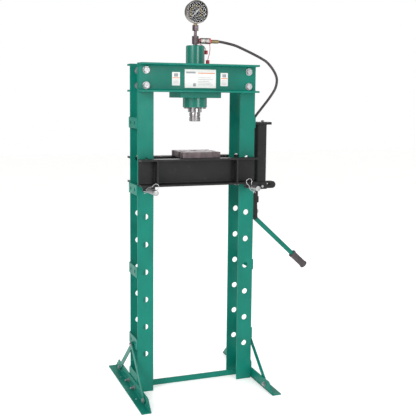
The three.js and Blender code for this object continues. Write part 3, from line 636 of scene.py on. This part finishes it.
def make_foot(side, sign):
    node = f"foot_{side}"
    x, y, z = spans(node)
    wall_x = (x[1] - 5 * MM, x[1]) if sign < 0 else (x[0], x[0] + 5 * MM)
    wall_holes = [circle(at, 20 * MM, 6.5 * MM, 32) for at in mm(-50, 50)]
    wall_holes += [circle(at, 24 * MM, 5.5 * MM, 32) for at in mm(-223, 223)]
    slope, base = 50 * MM, 6 * MM
    wall = [(y[0], z[0]), (y[1], z[0]), (y[1], base)]
    wall += [(y[1] - slope, z[1]), (y[0] + slope, z[1]), (y[0], base)]
    sole_holes = [circle(sign * 321 * MM, at, 7 * MM, 40) for at in mm(-145, 145)]
    heel = sign * 301.1 * MM
    root = [(0, 0), (5 * MM, 0), mm(1.5, 1.5), (0, 5 * MM)]
    fillet = [(heel + sign * u, 4.5 * MM + v) for u, v in root]
    runs = plate([(u, v) for u, v in fillet], [], "y", (y[0] + 1 * MM, y[1] - 1 * MM), 0.2 * MM)
    parts = [
        plate(softened(wall, [0.8 * MM] * 6), wall_holes, "x", wall_x, 1 * MM),
        plate(rectangle(x, y, 1.5 * MM), sole_holes, "z", (z[0], z[0] + 5 * MM), 1 * MM),
        runs,
    ]
    green_piece(f"{node}_angle", parts, node)


def bolt(at, inner, outer, sign, across=17 * MM, tail=8 * MM):
    """A cross bolt along X: head outside, nut and thread inside."""
    y, z = at
    centre = (0, y, z)
    head = sorted((outer, outer + sign * 8 * MM))
    washer = sorted((outer, outer + sign * 2 * MM))
    rim = sorted((inner, inner - sign * 2 * MM))
    nut = sorted((inner, inner - sign * 8 * MM))
    shank = sorted((inner - sign * (8 * MM + tail), outer))
    return [
        disc(across * 0.72, washer, "x", centre, 0.3 * MM, segments=48),
        disc(across * 0.72, rim, "x", centre, 0.3 * MM, segments=48),
        hexagon(across, head, "x", centre, sign < 0, sign > 0),
        hexagon(across, nut, "x", centre),
        disc(5.1 * MM, shank, "x", centre, 0.8 * MM, segments=40),
    ]


def make_foot_bolts(side, sign):
    inner, outer = sign * 296.1 * MM, sign * 306.3 * MM
    parts = []
    for y in mm(-50, 50):
        parts += bolt((y, 20 * MM), sign * 301.1 * MM, sign * 290.8 * MM, -sign, tail=14 * MM)
    for y in mm(-223, 223):
        parts += bolt((y, 24 * MM), inner, outer, sign, tail=5 * MM)
    piece(f"foot_bolts_{side}", parts, *ZINC)
    apex = bolt((0, 216 * MM), sign * 290.8 * MM, sign * 305.6 * MM, sign)
    piece(f"brace_bolt_{side}", apex, *ZINC)


def channel_outline(y, z, sign):
    """The rolled section: web, two flanges, root fillets and rounded toes."""
    web, flange = 8 * MM, 9 * MM
    back, toe = (y[1], y[0]) if sign < 0 else (y[0], y[1])
    face = back + sign * web
    (z0, z1), root, tip = z, 7 * MM, 4 * MM
    points = [
        (back, z0),
        (toe, z0),
        (toe, z0 + flange),
        (face, z0 + flange),
        (face, z1 - flange),
        (toe, z1 - flange),
        (toe, z1),
        (back, z1),
    ]
    return softened(points, [0, 0, tip, root, root, tip, 0, 0])


def make_head():
    for facing, sign in (("front", -1), ("rear", 1)):
        node = f"head_channel_{facing}"
        x, y, z = spans(node)
        rolled = plate(channel_outline(y, z, sign), [], "x", x)
        green_piece(f"{node}_section", [rolled], node)
    for side, sign in both_sides():
        for level in ("lower", "upper"):
            make_head_bolt(f"head_bolt_{side}_{level}")
    x, y, z = spans("bolster_plate")
    slab = plate(rectangle(x, y, 2 * MM), [circle(9 * MM, 0, 44.3 * MM, 96)], "z", z, 1.2 * MM)
    green_piece("bolster", [slab], "bolster_plate")
    beads = [bead((x[0], s * 77.5 * MM, z[1]), (x[1], s * 77.5 * MM, z[1]), 2.4 * MM) for s in (-1, 1)]
    green_piece("bolster_welds", beads)


def make_head_bolt(node):
    x, y, z = spans(node)
    centre = (middle(x), 0, middle(z))
    face, inside, washer = 77.6 * MM, 60.7 * MM, 3 * MM
    parts = [
        disc(8 * MM, (-face, face + 19 * MM), "y", centre, 1.2 * MM, segments=48),
        hexagon(24 * MM, (-face - 12 * MM, -face - washer), "y", centre, True, False),
        hexagon(24 * MM, (face + washer, face + 15 * MM), "y", centre),
    ]
    for s in (-1, 1):
        for rim in ((face, face + washer), (inside - washer, inside)):
            parts.append(disc(17 * MM, sorted(s * at for at in rim), "y", centre, 0.6 * MM))
        nut = sorted((s * (inside - washer), s * (inside - 13 * MM)))
        parts.append(hexagon(24 * MM, nut, "y", centre, s > 0, s < 0))
    piece(f"{node}_set", parts, *ZINC, node)


def make_labels():
    """Plain blank labels on the head: pale film with colour bars."""
    face = spans("head_channel_front")[1][1] - 8 * MM
    layers = {"white": [], "orange": [], "grey": []}

    def film(colour, x, z, level):
        top = face - level * 0.12 * MM
        layers[colour].append(
            plate(rectangle(x, z, 1.5 * MM), [], "y", (top - 0.2 * MM, top + 0.1 * MM), 0.05 * MM)
        )

    film("white", mm(-69, 85), mm(1434, 1519), 0)
    film("orange", mm(-4, 80), mm(1500, 1504), 1)
    film("grey", mm(-28, -14), mm(1441, 1455), 1)
    for row in range(5):
        z = (1448 + 8 * row) * MM
        film("grey", (-4 * MM, (70 - 9 * (row % 3)) * MM), (z, z + 1.6 * MM), 1)
    film("grey", mm(-62, -16), mm(1500, 1508), 1)
    for x in (mm(-130, -92), mm(108, 145)):
        film("white", x, mm(1444, 1505), 0)
        film("orange", (x[0] + 3 * MM, x[1] - 3 * MM), mm(1477, 1481), 1)
        film("grey", (x[0] + 9 * MM, x[1] - 9 * MM), mm(1484, 1499), 1)
        for row in range(4):
            z = (1450 + 6 * row) * MM
            film("grey", (x[0] + 5 * MM, x[1] - 5 * MM), (z, z + 1.4 * MM), 1)
    for colour, films in layers.items():
        piece(f"labels_{colour}", films, colour, "frame", "green_paint")


# ---- Ram unit ----
RAM = (9 * MM, 0, 0)
RAM_SEGMENTS = 112


def make_ram_unit():
    bottom, top = spans("cylinder_barrel")[2]
    profile = from_level(bottom, [(36, 0), (44, 0)])
    profile += from_level(top, [(44, -4), (43.4, -2.2), (42.2, -0.8), (40.5, 0), (12, 0)])
    profile += from_level(top, [(12, -20), (36, -20)])
    barrel = turned(profile, "z", RAM, RAM_SEGMENTS)
    piece("barrel", [barrel], "gloss_green", "frame", "green_paint", "cylinder_barrel")
    low, high = spans("cylinder_gland")[2]
    profile = from_level(low, [(32.9, 1.5), (34.4, 0), (55, 0), (56.4, 0.6), (57, 2)])
    profile += from_level(high, [(57, -1), (56, 0), (32.9, 0)])
    gland = turned(profile, "z", RAM, RAM_SEGMENTS)
    piece("gland", [gland], "gloss_green", "frame", "green_paint", "cylinder_gland")
    screws = []
    for i in range(6):
        a = math.radians(30 + 60 * i)
        centre = (RAM[0] + 46 * MM * math.cos(a), 46 * MM * math.sin(a), 0)
        screws.append(disc(7 * MM, (low - 5.5 * MM, low + 1 * MM), "z", centre, 0.8 * MM, 0.0, 40))
        screws.append(hexagon(7 * MM, (low - 5.9 * MM, low - 5.0 * MM), "z", centre, False, False))
    piece("gland_screws", screws, "dark_steel", "frame", "dark_fitting")
    make_ram(high)


def make_ram(gland_top):
    low, high = spans("ram")[2]
    profile = from_level(low, [(0, 0), (30.5, 0), (31.8, 0.5), (32.5, 2)])
    profile += from_level(high, [(32.5, -34), (35.5, -34), (35.5, 0), (18, 0)])
    profile += from_level(low, [(18, 32), (0, 32)])
    rod = turned(profile, "z", RAM, RAM_SEGMENTS)
    piece("ram_rod", [rod], "chrome", "ram", "chrome_ram", "ram")
    low = spans("ram_nose")[2][0]
    profile = from_level(low, [(0, 0.6), (6, 0.6), (7, 0), (23.5, 0), (25.2, 0.7), (26, 2.4)])
    profile += in_mm([(26, 1297.5), (23.5, 1298.5), (23.5, 1301.5), (26, 1302.5), (26, 1317)])
    profile += in_mm([(24, 1319.7), (0, 1319.7)])
    nose = turned(profile, "z", RAM, RAM_SEGMENTS)
    piece("nose", [nose], "turned", "ram", "machined_steel", "ram_nose")
    keep_node("return_spring", "dark_steel", 0.1 * MM)


# ---- Fittings, gauge, hose ----
GAUGE = (9 * MM, 0, 1786 * MM)
DIAL_START, DIAL_SWEEP = -135, 270
DIAL_FRONT = -9.3 * MM
PORT_Z = 1655 * MM
DARK = ("dark_steel", "frame", "dark_fitting")
BRASS = ("brass", "frame", "brass_fitting")


def make_fittings():
    block = [
        disc(10 * MM, mm(1632.3, 1641), "z", RAM, 0.6 * MM),
        hexagon(31 * MM, mm(1639, 1676), "z", RAM, sides=8, per_side=6),
    ]
    piece("port_body", block, *DARK, "port_block")
    stem = [
        disc(7 * MM, mm(1676.3, 1701), "z", RAM, 0.5 * MM),
        disc(8.2 * MM, mm(1678, 1682), "z", RAM, 0.8 * MM),
        hexagon(26.5 * MM, mm(1700, 1727), "z", RAM),
    ]
    piece("stem_nut", stem, *DARK, "gauge_stem")
    stub = [disc(9 * MM, mm(1726.5, 1734.6), "z", RAM, 0.8 * MM)]
    piece("stem_stub", stub, *BRASS)
    at = (0, 0, PORT_Z)
    coupler = [
        disc(8 * MM, mm(25.9, 34), "x", at, 0.5 * MM),
        hexagon(23.6 * MM, mm(33, 57.6), "x", at),
        disc(9.5 * MM, mm(57, 59), "x", at, 0.3 * MM),
        hexagon(24.5 * MM, mm(58.4, 76), "x", at),
        disc(11.5 * MM, mm(75, 86), "x", at, 0.8 * MM),
    ]
    piece("coupler", coupler, "coupler", "frame", "dark_fitting", "hose_coupler")
    low, high = spans("hose_ferrule")[0]
    profile = [(0, low), (8 * MM, low), (9 * MM, low + 1 * MM)]
    for i in range(5):
        start = low + (6 + 6 * i) * MM
        profile += [(9 * MM, start), (8.5 * MM, start + 0.8 * MM), (8.5 * MM, start + 2 * MM)]
        profile += [(9 * MM, start + 2.8 * MM)]
    profile += [(9 * MM, high - 1.5 * MM), (7.6 * MM, high), (0, high)]
    crimp = turned(profile, "x", (0, 0, PORT_Z - 1.5 * MM), 48)
    piece("ferrule", [crimp], *BRASS, "hose_ferrule")


def make_gauge():
    z = GAUGE
    rim = in_mm(
        [(0, -8), (49, -8), (49, -25), (49.6, -26), (51.6, -26), (53.3, -25.3), (54, -23.6)]
        + [(54, -17.6), (53, -16.4), (51, -16), (51, 9.5), (50.2, 12.3), (47.4, 14), (0, 14)]
    )
    piece("gauge_body", [turned(rim, "y", z, 128)], "bezel", "frame", "bezel_steel", "gauge_case")
    face = disc(48.6 * MM, mm(-9.3, -8.3), "y", z, 0.1 * MM, segments=128)
    piece("dial_plate", [face], "dial", "frame", "dial_black", "gauge_dial")
    pane = disc(48.6 * MM, mm(-22.5, -20.5), "y", z, 0.3 * MM, segments=128)
    piece("window", [pane], "glass", "frame", "lens_glass", "gauge_lens")
    make_dial_print()
    make_pointer()


def dial_point(angle, radius):
    """A point on the dial: 0 degrees is straight up, positive is clockwise seen from the front."""
    a = math.radians(angle)
    return GAUGE[0] + radius * math.sin(a), GAUGE[2] + radius * math.cos(a)


def dial_band(angles, radii, lift):
    """A flat printed band on the dial between two angles and two radii."""
    steps = max(2, int(abs(angles[1] - angles[0]) / 3))
    turns = [angles[0] + (angles[1] - angles[0]) * i / steps for i in range(steps + 1)]
    ring = [dial_point(a, radii[0]) for a in turns]
    ring += [dial_point(a, radii[1]) for a in reversed(turns)]
    front = DIAL_FRONT - lift
    return plate(ring, [], "y", (front, front + 0.15 * MM), 0.02 * MM)


def make_dial_print():
    start, sweep = DIAL_START, DIAL_SWEEP
    ticks = []
    for i in range(61):
        angle = start + sweep * i / 60
        long = i % 10 == 0
        half = 0.9 if long else 0.4
        inner = 43 * MM if long else (44 if i % 5 == 0 else 44.8) * MM
        ticks.append(dial_band((angle - half, angle + half), (inner, 46.6 * MM), 0.05 * MM))
    ticks.append(dial_band((start, start + sweep), mm(46.6, 47.3), 0.05 * MM))
    for i in range(7):
        x, z = dial_point(start + sweep * i / 6, 38.6 * MM)
        ticks.append(numeral(str(10 * i), x, z, 6.6 * MM))
    piece("dial_scale", ticks, "white", "frame", "dial_black")
    inner = [dial_band((start, start + sweep), mm(29, 30.4), 0.05 * MM)]
    for i in range(31):
        angle = start + sweep * i / 30
        half = 0.9
        length = 26 * MM if i % 5 == 0 else 27.4 * MM
        inner.append(dial_band((angle - half, angle + half), (length, 29.1 * MM), 0.05 * MM))
    for i in range(7):
        x, z = dial_point(start + sweep * i / 6, 22.5 * MM)
        inner.append(numeral(str(i), x, z, 6 * MM))
    piece("dial_inner_scale", inner, "yellow", "frame", "dial_black")


def numeral(text, x, z, size):
    """A dial number as a thin printed shape."""
    letters = bpy.data.curves.new("numeral", "FONT")
    letters.body = text
    letters.size = size
    letters.align_x = "CENTER"
    letters.align_y = "CENTER"
    letters.extrude = 0.06 * MM
    letters.resolution_u = 3
    mesh = baked(letters)
    mesh.transform(Matrix.Translation((x, -9.4 * MM, z)) @ Matrix.Rotation(math.pi / 2, 4, "X"))
    return mesh


def make_pointer():
    """The pointer at zero, bottom left, with its tail and hub."""
    lean = math.radians(DIAL_START)
    along = Vector((math.sin(lean), math.cos(lean)))
    across = Vector((along.y, -along.x))
    centre = Vector((GAUGE[0], GAUGE[2]))
    half = [(32, 0.4), (0, 1.8), (-13, 1.8), (-16, 4.2), (-19, 3.2)]
    shape = half + [(u, -v) for u, v in reversed(half)]
    outline = [tuple(centre + along * (u * MM) + across * (v * MM)) for u, v in shape]
    blade = plate(outline, [], "y", mm(-12.9, -12), 0.15 * MM)
    hub = disc(3.6 * MM, mm(-14.4, -9.9), "y", (GAUGE[0], 0, GAUGE[2]), 0.6 * MM, segments=48)
    piece("pointer", [blade, hub], "white", "needle", "needle_white", "gauge_needle")


HOSE_ROUTE_MM = (
    (125.2, 0, 1653.5), (135, 0, 1653.3), (169, 0, 1648), (214, 0, 1638), (259, 0, 1621),
    (305, 0, 1602), (351, 0, 1581), (382, 0, 1563), (414, 0, 1530), (433, 0, 1497),
    (437, 0, 1469), (430, 4, 1435), (413, 14, 1401), (398, 28, 1373), (374, 42, 1336),
    (344, 56, 1290), (328, 62, 1240), (320, 62, 1180), (318, 61, 1110), (322, 60, 1040),
    (331.5, 58, 1005), (332, 58, 988), (332, 58, 974.9),
)


def make_hose():
    path = smooth_path([Vector(p) * MM for p in HOSE_ROUTE_MM], 8)
    tube = swept(path, 6.3 * MM, 32)
    made = piece("pressure_hose", [tube], "hose", "frame", "hose_rubber", "hose")


def cap_shape(x, y, low):
    """A moulded cup with a rolled lip at its open, upper end."""
    high = low + 18 * MM
    profile = from_level(low, [(0, 0), (6.4, 0), (8.2, 0.9), (8.8, 3)])
    profile += from_level(high, [(8.6, -4), (9, -2.6), (9, -0.8), (8.2, 0), (6.6, 0), (6.4, -1)])
    profile += from_level(low, [(6.2, 8), (0, 8)])
    return turned(profile, "z", (x, y, 0), 56)


def make_dust_caps():
    band = disc(14.4 * MM, mm(77, 84.6), "x", (0, 0, PORT_Z), 1 * MM, 11.7 * MM, 64)
    route = [(81, 0, 1642), (83, 0, 1618), (80, 0, 1595), (74.5, 0, 1577), (72.5, 0, 1565)]
    strap = swept(smooth_path([Vector(p) * MM for p in route]), 1.7 * MM, 12, 0.9)
    piece("front_cap_strap", [band, strap], "pink", "frame", "cap_plastic", "dust_cap_front")
    piece("front_cap", [cap_shape(72 * MM, 0, 1548 * MM)], "red", "frame", "cap_plastic")
    ring = disc(11.3 * MM, mm(28, 31), "x", (0, 0, PORT_Z), 0.8 * MM, 8.3 * MM, 56)
    route = [(29.5, 10, 1653), (29.5, 21, 1648), (43, 31, 1642)]
    route += [(60, 34, 1635), (70, 28, 1622), (71, 24, 1611)]
    strap = swept(smooth_path([Vector(p) * MM for p in route]), 1.6 * MM, 12, 0.9)
    piece("rear_cap_strap", [ring, strap], "pink", "frame", "cap_plastic", "dust_cap_rear")
    piece("rear_cap", [cap_shape(71 * MM, 22 * MM, 1594 * MM)], "red", "frame", "cap_plastic")


# ---- Bed ----
RIBS = (mm(-214, -206), mm(178, 186))
PIN_Z = PIN_HOLE_FIRST + 6 * PIN_HOLE_PITCH


def make_bed():
    for facing, sign in (("front", -1), ("rear", 1)):
        node = f"bed_channel_{facing}"
        x, y, z = spans(node)
        deck = (983.5 * MM, z[1])
        toe, back = (y[0], y[1]) if sign < 0 else (y[1], y[0])
        parts = [plate(channel_outline(y, deck, sign), [], "x", x)]
        web = back + sign * 8 * MM
        for rib in RIBS:
            span = rib if sign < 0 else (-rib[1], -rib[0])
            inside = sorted((web - sign * 1 * MM, toe - sign * 0.8 * MM))
            flat = rectangle(inside, (deck[0] + 8 * MM, deck[1] - 8 * MM))
            parts.append(plate(flat, [], "x", span))
        for pin_x in (-UPRIGHT_X, UPRIGHT_X):
            parts.append(saddle(pin_x, toe, sign))
        piece(f"{node}_section", parts, "black", "bed", "black_paint", node)
        make_bed_welds(facing, sign, web, toe, deck)
    for side in ("left", "right"):
        keep_node(f"bed_tie_{side}", "black")


def saddle(pin_x, toe, sign):
    """A small plate under the flange, notched to sit astride the pin."""
    low, high, r = PIN_Z - 5.5 * MM, 985 * MM, PIN_HOLE_RADIUS
    outline = [(pin_x - 29 * MM, low), (pin_x - r, low), (pin_x - r, PIN_Z)]
    outline += arc(pin_x, PIN_Z, r, 180, 0, 24)[1:]
    outline += [(pin_x + r, low), (pin_x + 29 * MM, low), (pin_x + 29 * MM, high), (pin_x - 29 * MM, high)]
    return plate(outline, [], "y", sorted((toe - sign * 0.2 * MM, toe - sign * 8 * MM)), 0.5 * MM)


def make_bed_welds(facing, sign, web, toe, deck):
    beads = []
    for rib in RIBS:
        span = rib if sign < 0 else (-rib[1], -rib[0])
        for x in span:
            root = web + sign * 1 * MM
            beads.append(bead((x, root, deck[0] + 15 * MM), (x, root, deck[1] - 15 * MM)))
    piece(f"rib_welds_{facing}", beads, "black", "bed", "black_paint")


CLIP_OUTLINE_MM = (
    (0, -31), (0, -8), (0, 12), (2, 19), (9, 27), (9, 38), (0, 45), (-11, 44), (-18, 36),
    (-17, 25), (-13, 16), (-15.2, 6), (-15.4, -4), (-11.5, -13), (-5, -19.5), (-9, -29),
)
CLIP_LEAN = {"left": -68, "right": 27}


def make_pins():
    for side, sign in both_sides():
        y = spans(f"bed_pin_{side}")[1]
        centre = (sign * UPRIGHT_X, 0, PIN_Z)
        ends = [(0, 0), (10.5, 0), (12.1, 0.8), (12.7, 2.2)]
        profile = from_level(y[0], ends)
        profile += from_level(y[1], [(radius, -height) for radius, height in reversed(ends)])
        shaft = turned(profile, "y", centre, 72)
        piece(f"pin_{side}_shaft", [shaft], "zinc", f"pin_{side}", "zinc_steel", f"bed_pin_{side}")
        lean = math.radians(CLIP_LEAN[side])
        turn = Matrix.Translation(centre) @ Matrix.Rotation(-lean, 4, "Y")
        route = [turn @ Vector((x * MM, -142 * MM, z * MM)) for x, z in CLIP_OUTLINE_MM]
        wire = swept(smooth_path(route, 8), 1.5 * MM, 14)
        piece(f"clip_{side}", [wire], "wire", f"pin_{side}", "zinc_steel", f"pin_clip_{side}")


def make_arbor_plates():
    joint = 16 * MM
    for side, sign in (("left", 1), ("right", -1)):
        node = f"arbor_plate_{side}"
        x, y, z = spans(node)

        def at(u, v):
            return joint + sign * u * MM, v * MM

        eye = [at(u * 1000, v * 1000) for u, v in arc(-0.3 * MM, 32 * MM, 16.5 * MM, 270, 90, 28)]
        slot = [at(u * 1000, v * 1000) for u, v in arc(-76 * MM, -32 * MM, 12 * MM, 90, -90, 20)]
        outline = [at(-94, -82), at(-0.3, -82), *eye, at(-0.3, 84), at(-94, 84)]
        outline += [at(-94, 72), at(-74, 56), at(-94, 40), at(-94, -20), *slot, at(-94, -44)]
        slab = plate(outline, [], "z", z, 1.1 * MM)
        piece(f"{node}_slab", [slab], "plate", f"plate_{side}", "plate_steel", node)


# ---- Hand pump ----
PUMP_BARREL_X = 334 * MM
FULCRUM = Vector((322 * MM, 0, 806 * MM))
HANDLE_SLOPE = math.radians(42.7)
BLACK = ("black", "frame", "black_paint")


def make_pump():
    x, y, z = spans("pump_tank")
    tank = plate(rectangle(x, y, 14 * MM), [], "z", z, 1 * MM)
    piece("tank", [tank], *BLACK, "pump_tank")
    seams = [ring_bead(x, y, 14 * MM, height) for height in (z[0] + 1 * MM, z[1] - 1 * MM)]
    piece("tank_seams", seams, *BLACK)
    x, y, z = spans("pump_top_plate")
    shelf = mm(1261, 1273.5)
    holes = [circle(s * 33.3 * MM, 1277 * MM, 5.5 * MM, 32) for s in (-1, 1)]
    parts = [
        plate(rectangle(y, z, 5 * MM), holes, "x", (x[0], x[0] + 6 * MM)),
        plate(rectangle(x, y, 6 * MM), [], "z", shelf, 1.4 * MM),
    ]
    piece("top_bracket", parts, *BLACK, "pump_top_plate")
    at = (364 * MM, 0, 0)
    cap = [
        disc(7.5 * MM, mm(1273.8, 1277), "z", at, 0.7 * MM),
        hexagon(12.6 * MM, mm(1276.5, 1282), "z", at, False, True),
    ]
    piece("filler_plug", cap, *ZINC, "filler_cap")
    make_pump_base()
    make_pump_bolts()
    make_linkage()


def ring_bead(x, y, radius, height):
    """A weld bead round the tank's section."""
    inset = 0.6 * MM
    outline = rectangle((x[0] + inset, x[1] - inset), (y[0] + inset, y[1] - inset), radius)
    path = [Vector((u, v, height)) for u, v in outline + outline[:1]]
    return swept(path, 1.9 * MM, 8)


def make_pump_base():
    x, y, z = spans("pump_base")
    depth = mm(-40, 40)
    block_z = mm(945, 980)
    flange = plate(rectangle(depth, mm(940, 988), 5 * MM), [], "x", (x[0], x[0] + 6 * MM))
    block = plate(rectangle((x[0], 376 * MM), block_z, 2.5 * MM), [], "y", depth, 1.4 * MM)
    lip = in_mm([(374, 945)])
    lip += arc(417.5 * MM, 962.5 * MM, 17.5 * MM, -90, 90, 30)
    lip += in_mm([(396, 980), (393, 977), (393, 970), (402, 970), (404.4, 969), (405, 966.7)])
    lip += in_mm([(404.4, 964.5), (402, 963.5), (374, 963.5)])
    hook = plate(lip, [], "y", mm(-14, 14), 1.2 * MM)
    axis = (PUMP_BARREL_X, 0, 0)
    profile = in_mm([(6.9, 875), (14, 875), (15, 876), (15, 903.5)])
    profile += in_mm([(14, 905), (11, 905), (11, 946), (6.9, 946)])
    barrel = turned(profile, "z", axis, 64)
    cheeks = []
    for s in (-1, 1):
        span = sorted((s * 16 * MM, s * 20 * MM))
        u0, u1 = FULCRUM.x - 11 * MM, FULCRUM.x + 9 * MM
        outline = [(u0, 946 * MM)]
        outline += arc(FULCRUM.x, FULCRUM.z, 15 * MM, 165, 375, 32)
        outline += [(u1, 946 * MM)]
        cheeks.append(plate(outline, [], "y", span, 0.8 * MM))
        head = sorted((s * 20 * MM, s * 22.9 * MM))
        cheeks.append(disc(7.5 * MM, head, "y", tuple(FULCRUM), 0.7 * MM, segments=40))
    pin = disc(5 * MM, mm(-20, 20), "y", tuple(FULCRUM), 0.4 * MM, segments=40)
    port_outline = rectangle(mm(318, 346), mm(39, 70), 3 * MM)
    port = [
        plate(port_outline, [], "z", mm(948, 968), 1 * MM),
        hexagon(16 * MM, mm(967.5, 974.2), "z", (332 * MM, 58 * MM, 0), False, True),
    ]
    parts = [flange, block, hook, barrel, *cheeks, pin, *port]
    piece("pump_body", parts, *BLACK, "pump_base")


def make_pump_bolts():
    parts = []
    inner = spans("strap_right_4")[0][0]
    for y in mm(-33.3, 33.3):
        parts += bolt((y, 1277 * MM), inner, 302.1 * MM, 1, 13 * MM, 3 * MM)
    piece("pump_bolts", parts, *ZINC)
    centre = (343 * MM, 0, 961 * MM)
    knob = [
        disc(4 * MM, mm(-50, -40.3), "y", centre, 0.4 * MM, segments=40),
        hexagon(11.6 * MM, mm(-60, -49), "y", centre, sides=12, per_side=4),
    ]
    piece("release_screw", knob, "zinc", "valve", "zinc_steel", "release_knob")


def make_linkage():
    low, high = spans("pump_plunger")[2]
    axis = (PUMP_BARREL_X, 0, 0)
    eye = (PUMP_BARREL_X, 0, 831 * MM)
    plunger = [
        disc(6.5 * MM, (835 * MM, high), "z", axis, 0.8 * MM, segments=56),
        disc(12.5 * MM, mm(-9, 9), "y", eye, 1.2 * MM, segments=64),
    ]
    piece("plunger_rod", plunger, "turned", "plunger", "machined_steel", "pump_plunger")
    turn = Matrix.Translation(FULCRUM) @ Matrix.Rotation(HANDLE_SLOPE, 4, "Y")
    hub = disc(14 * MM, mm(-12, 12), "y", (0, 0, 0), 1.2 * MM, 5.4 * MM, 64)
    bar = disc(11.5 * MM, mm(9, 384), "x", (0, 0, 0), 0.8 * MM, segments=56)
    lever = [hub, bar]
    for mesh in lever:
        mesh.transform(turn)
    piece("lever", lever, "green", "handle", "green_paint", "pump_handle")
    grip = fluted_grip(297 * MM, 397 * MM)
    grip.transform(turn)
    piece("grip", [grip], "grip", "handle", "grip_rubber", "handle_grip")


def fluted_grip(start, end):
    """A rubber grip with a flared collar, lengthwise flutes and a rounded end."""
    sides, flutes, depth = 120, 12, 2.2
    length = end - start
    collar = [(0, 11.9, 0), (0, 18, 0), (0.015, 19.6, 0)]
    collar += [(0.07, 19.9, 0), (0.1, 19.4, 0), (0.12, 18.1, 0)]
    barrel = [(0.15, 17.9, 1), (0.5, 17.6, 1), (0.85, 17.9, 1)]
    end_flange = [(0.88, 18.1, 0), (0.9, 19.4, 0), (0.96, 19.8, 0), (0.985, 17, 0), (1, 13.5, 0)]
    profile = collar + barrel + end_flange
    shape = bmesh.new()
    rings = []
    for along, radius, fluted in profile:
        ring = []
        for k in range(sides):
            a = 2 * math.pi * k / sides
            size = (radius - fluted * depth * (0.5 - 0.5 * math.cos(flutes * a)) ** 2) * MM
            point = (start + along * length, size * math.cos(a), size * math.sin(a))
            ring.append(shape.verts.new(point))
        rings.append(ring)
    skin(shape, rings)
    return finished(shape, "grip")


# ---- Stage ----
# Brightness of the mirrored room by direction, as a fraction of a turn.
ROOM_LEVEL = 0.34
PANELS = (
    (0.10, 0.28), (0.13, 1.15), (0.20, 1.15), (0.23, 0.25), (0.36, 0.2), (0.38, 1.1), (0.41, 1.1),
    (0.43, 0.22), (0.52, 0.16), (0.62, 0.3), (0.70, 0.9), (0.78, 0.9), (0.84, 0.28),
)
WHITE = (1, 1, 1, 1)
DIFFUSE_LEVEL = 0.80


def grey(level):
    return (level, level, level, 1)


def add_light(name, energy, place, target, size):
    data = bpy.data.lights.new(name, "AREA")
    data.energy = energy
    data.shape = "RECTANGLE"
    data.size = data.size_y = size
    light = bpy.data.objects.new(name, data)
    add_to_scene(light)
    light.location = place
    aim = Vector(target) - Vector(place)
    light.rotation_mode = "QUATERNION"
    light.rotation_quaternion = aim.to_track_quat("-Z", "Y")


def add_stage():
    size = 14.0
    data = bpy.data.meshes.new("floor")
    corners = [(-size, -size, 0), (size, -size, 0), (size, size, 0), (-size, size, 0)]
    data.from_pydata([Vector(c) - Vector((0, 0, 0.0005)) for c in corners], [], [(0, 1, 2, 3)])
    data.materials.append(MATERIALS["floor"])
    floor = bpy.data.objects.new("floor", data)
    add_to_scene(floor)
    bpy.context.scene.world = studio_world()
    bpy.context.scene.view_settings.view_transform = "Standard"
    aim = (0, 0, 0.95)
    add_light("key", 95, (-3.4, -2.6, 2.9), aim, 1.6)
    add_light("strip", 30, (0.9, -3.8, 1.7), aim, 1.2)
    add_light("back", 40, (1.5, 3.5, 3.0), aim, 2.0)


def studio_world():
    """A white room. Polished pieces mirror it as a dim room with tall bright panels."""
    world = bpy.data.worlds.new("studio")
    world.use_nodes = True
    nodes, links = world.node_tree.nodes, world.node_tree.links
    background = nodes["Background"]
    rays = nodes.new("ShaderNodeLightPath")

    def choose(ray, usual, other):
        """One colour for the named kind of ray and another for the rest."""
        mix = nodes.new("ShaderNodeMix")
        mix.data_type = "RGBA"
        links.new(rays.outputs[ray], mix.inputs[0])
        for socket, colour in ((6, usual), (7, other)):
            if isinstance(colour, tuple):
                mix.inputs[socket].default_value = colour
            else:
                links.new(colour, mix.inputs[socket])
        return mix.outputs[2]

    split = nodes.new("ShaderNodeSeparateXYZ")
    links.new(nodes.new("ShaderNodeTexCoord").outputs["Generated"], split.inputs[0])
    around = nodes.new("ShaderNodeMath")
    around.operation = "ARCTAN2"
    links.new(split.outputs["X"], around.inputs[0])
    links.new(split.outputs["Y"], around.inputs[1])
    turn = nodes.new("ShaderNodeMapRange")
    put(turn, From_Min=-math.pi, From_Max=math.pi)
    links.new(around.outputs[0], turn.inputs["Value"])
    panels = nodes.new("ShaderNodeValToRGB")
    panels.color_ramp.elements.remove(panels.color_ramp.elements[1])
    panels.color_ramp.elements[0].color = grey(ROOM_LEVEL)
    for at, level in PANELS:
        panels.color_ramp.elements.new(at).color = grey(level)
    links.new(turn.outputs[0], panels.inputs[0])
    mirrored = choose("Is Glossy Ray", grey(DIFFUSE_LEVEL), panels.outputs[0])
    links.new(choose("Is Camera Ray", mirrored, WHITE), background.inputs["Color"])
    put(background, Strength=1.0)
    return world


add_camera()
MATERIALS = make_materials()
make_hose()
make_uprights()
make_base()
make_head()
make_labels()
make_ram_unit()
make_fittings()
make_gauge()
make_dust_caps()
make_bed()
make_pins()
make_arbor_plates()
make_pump()
add_stage()
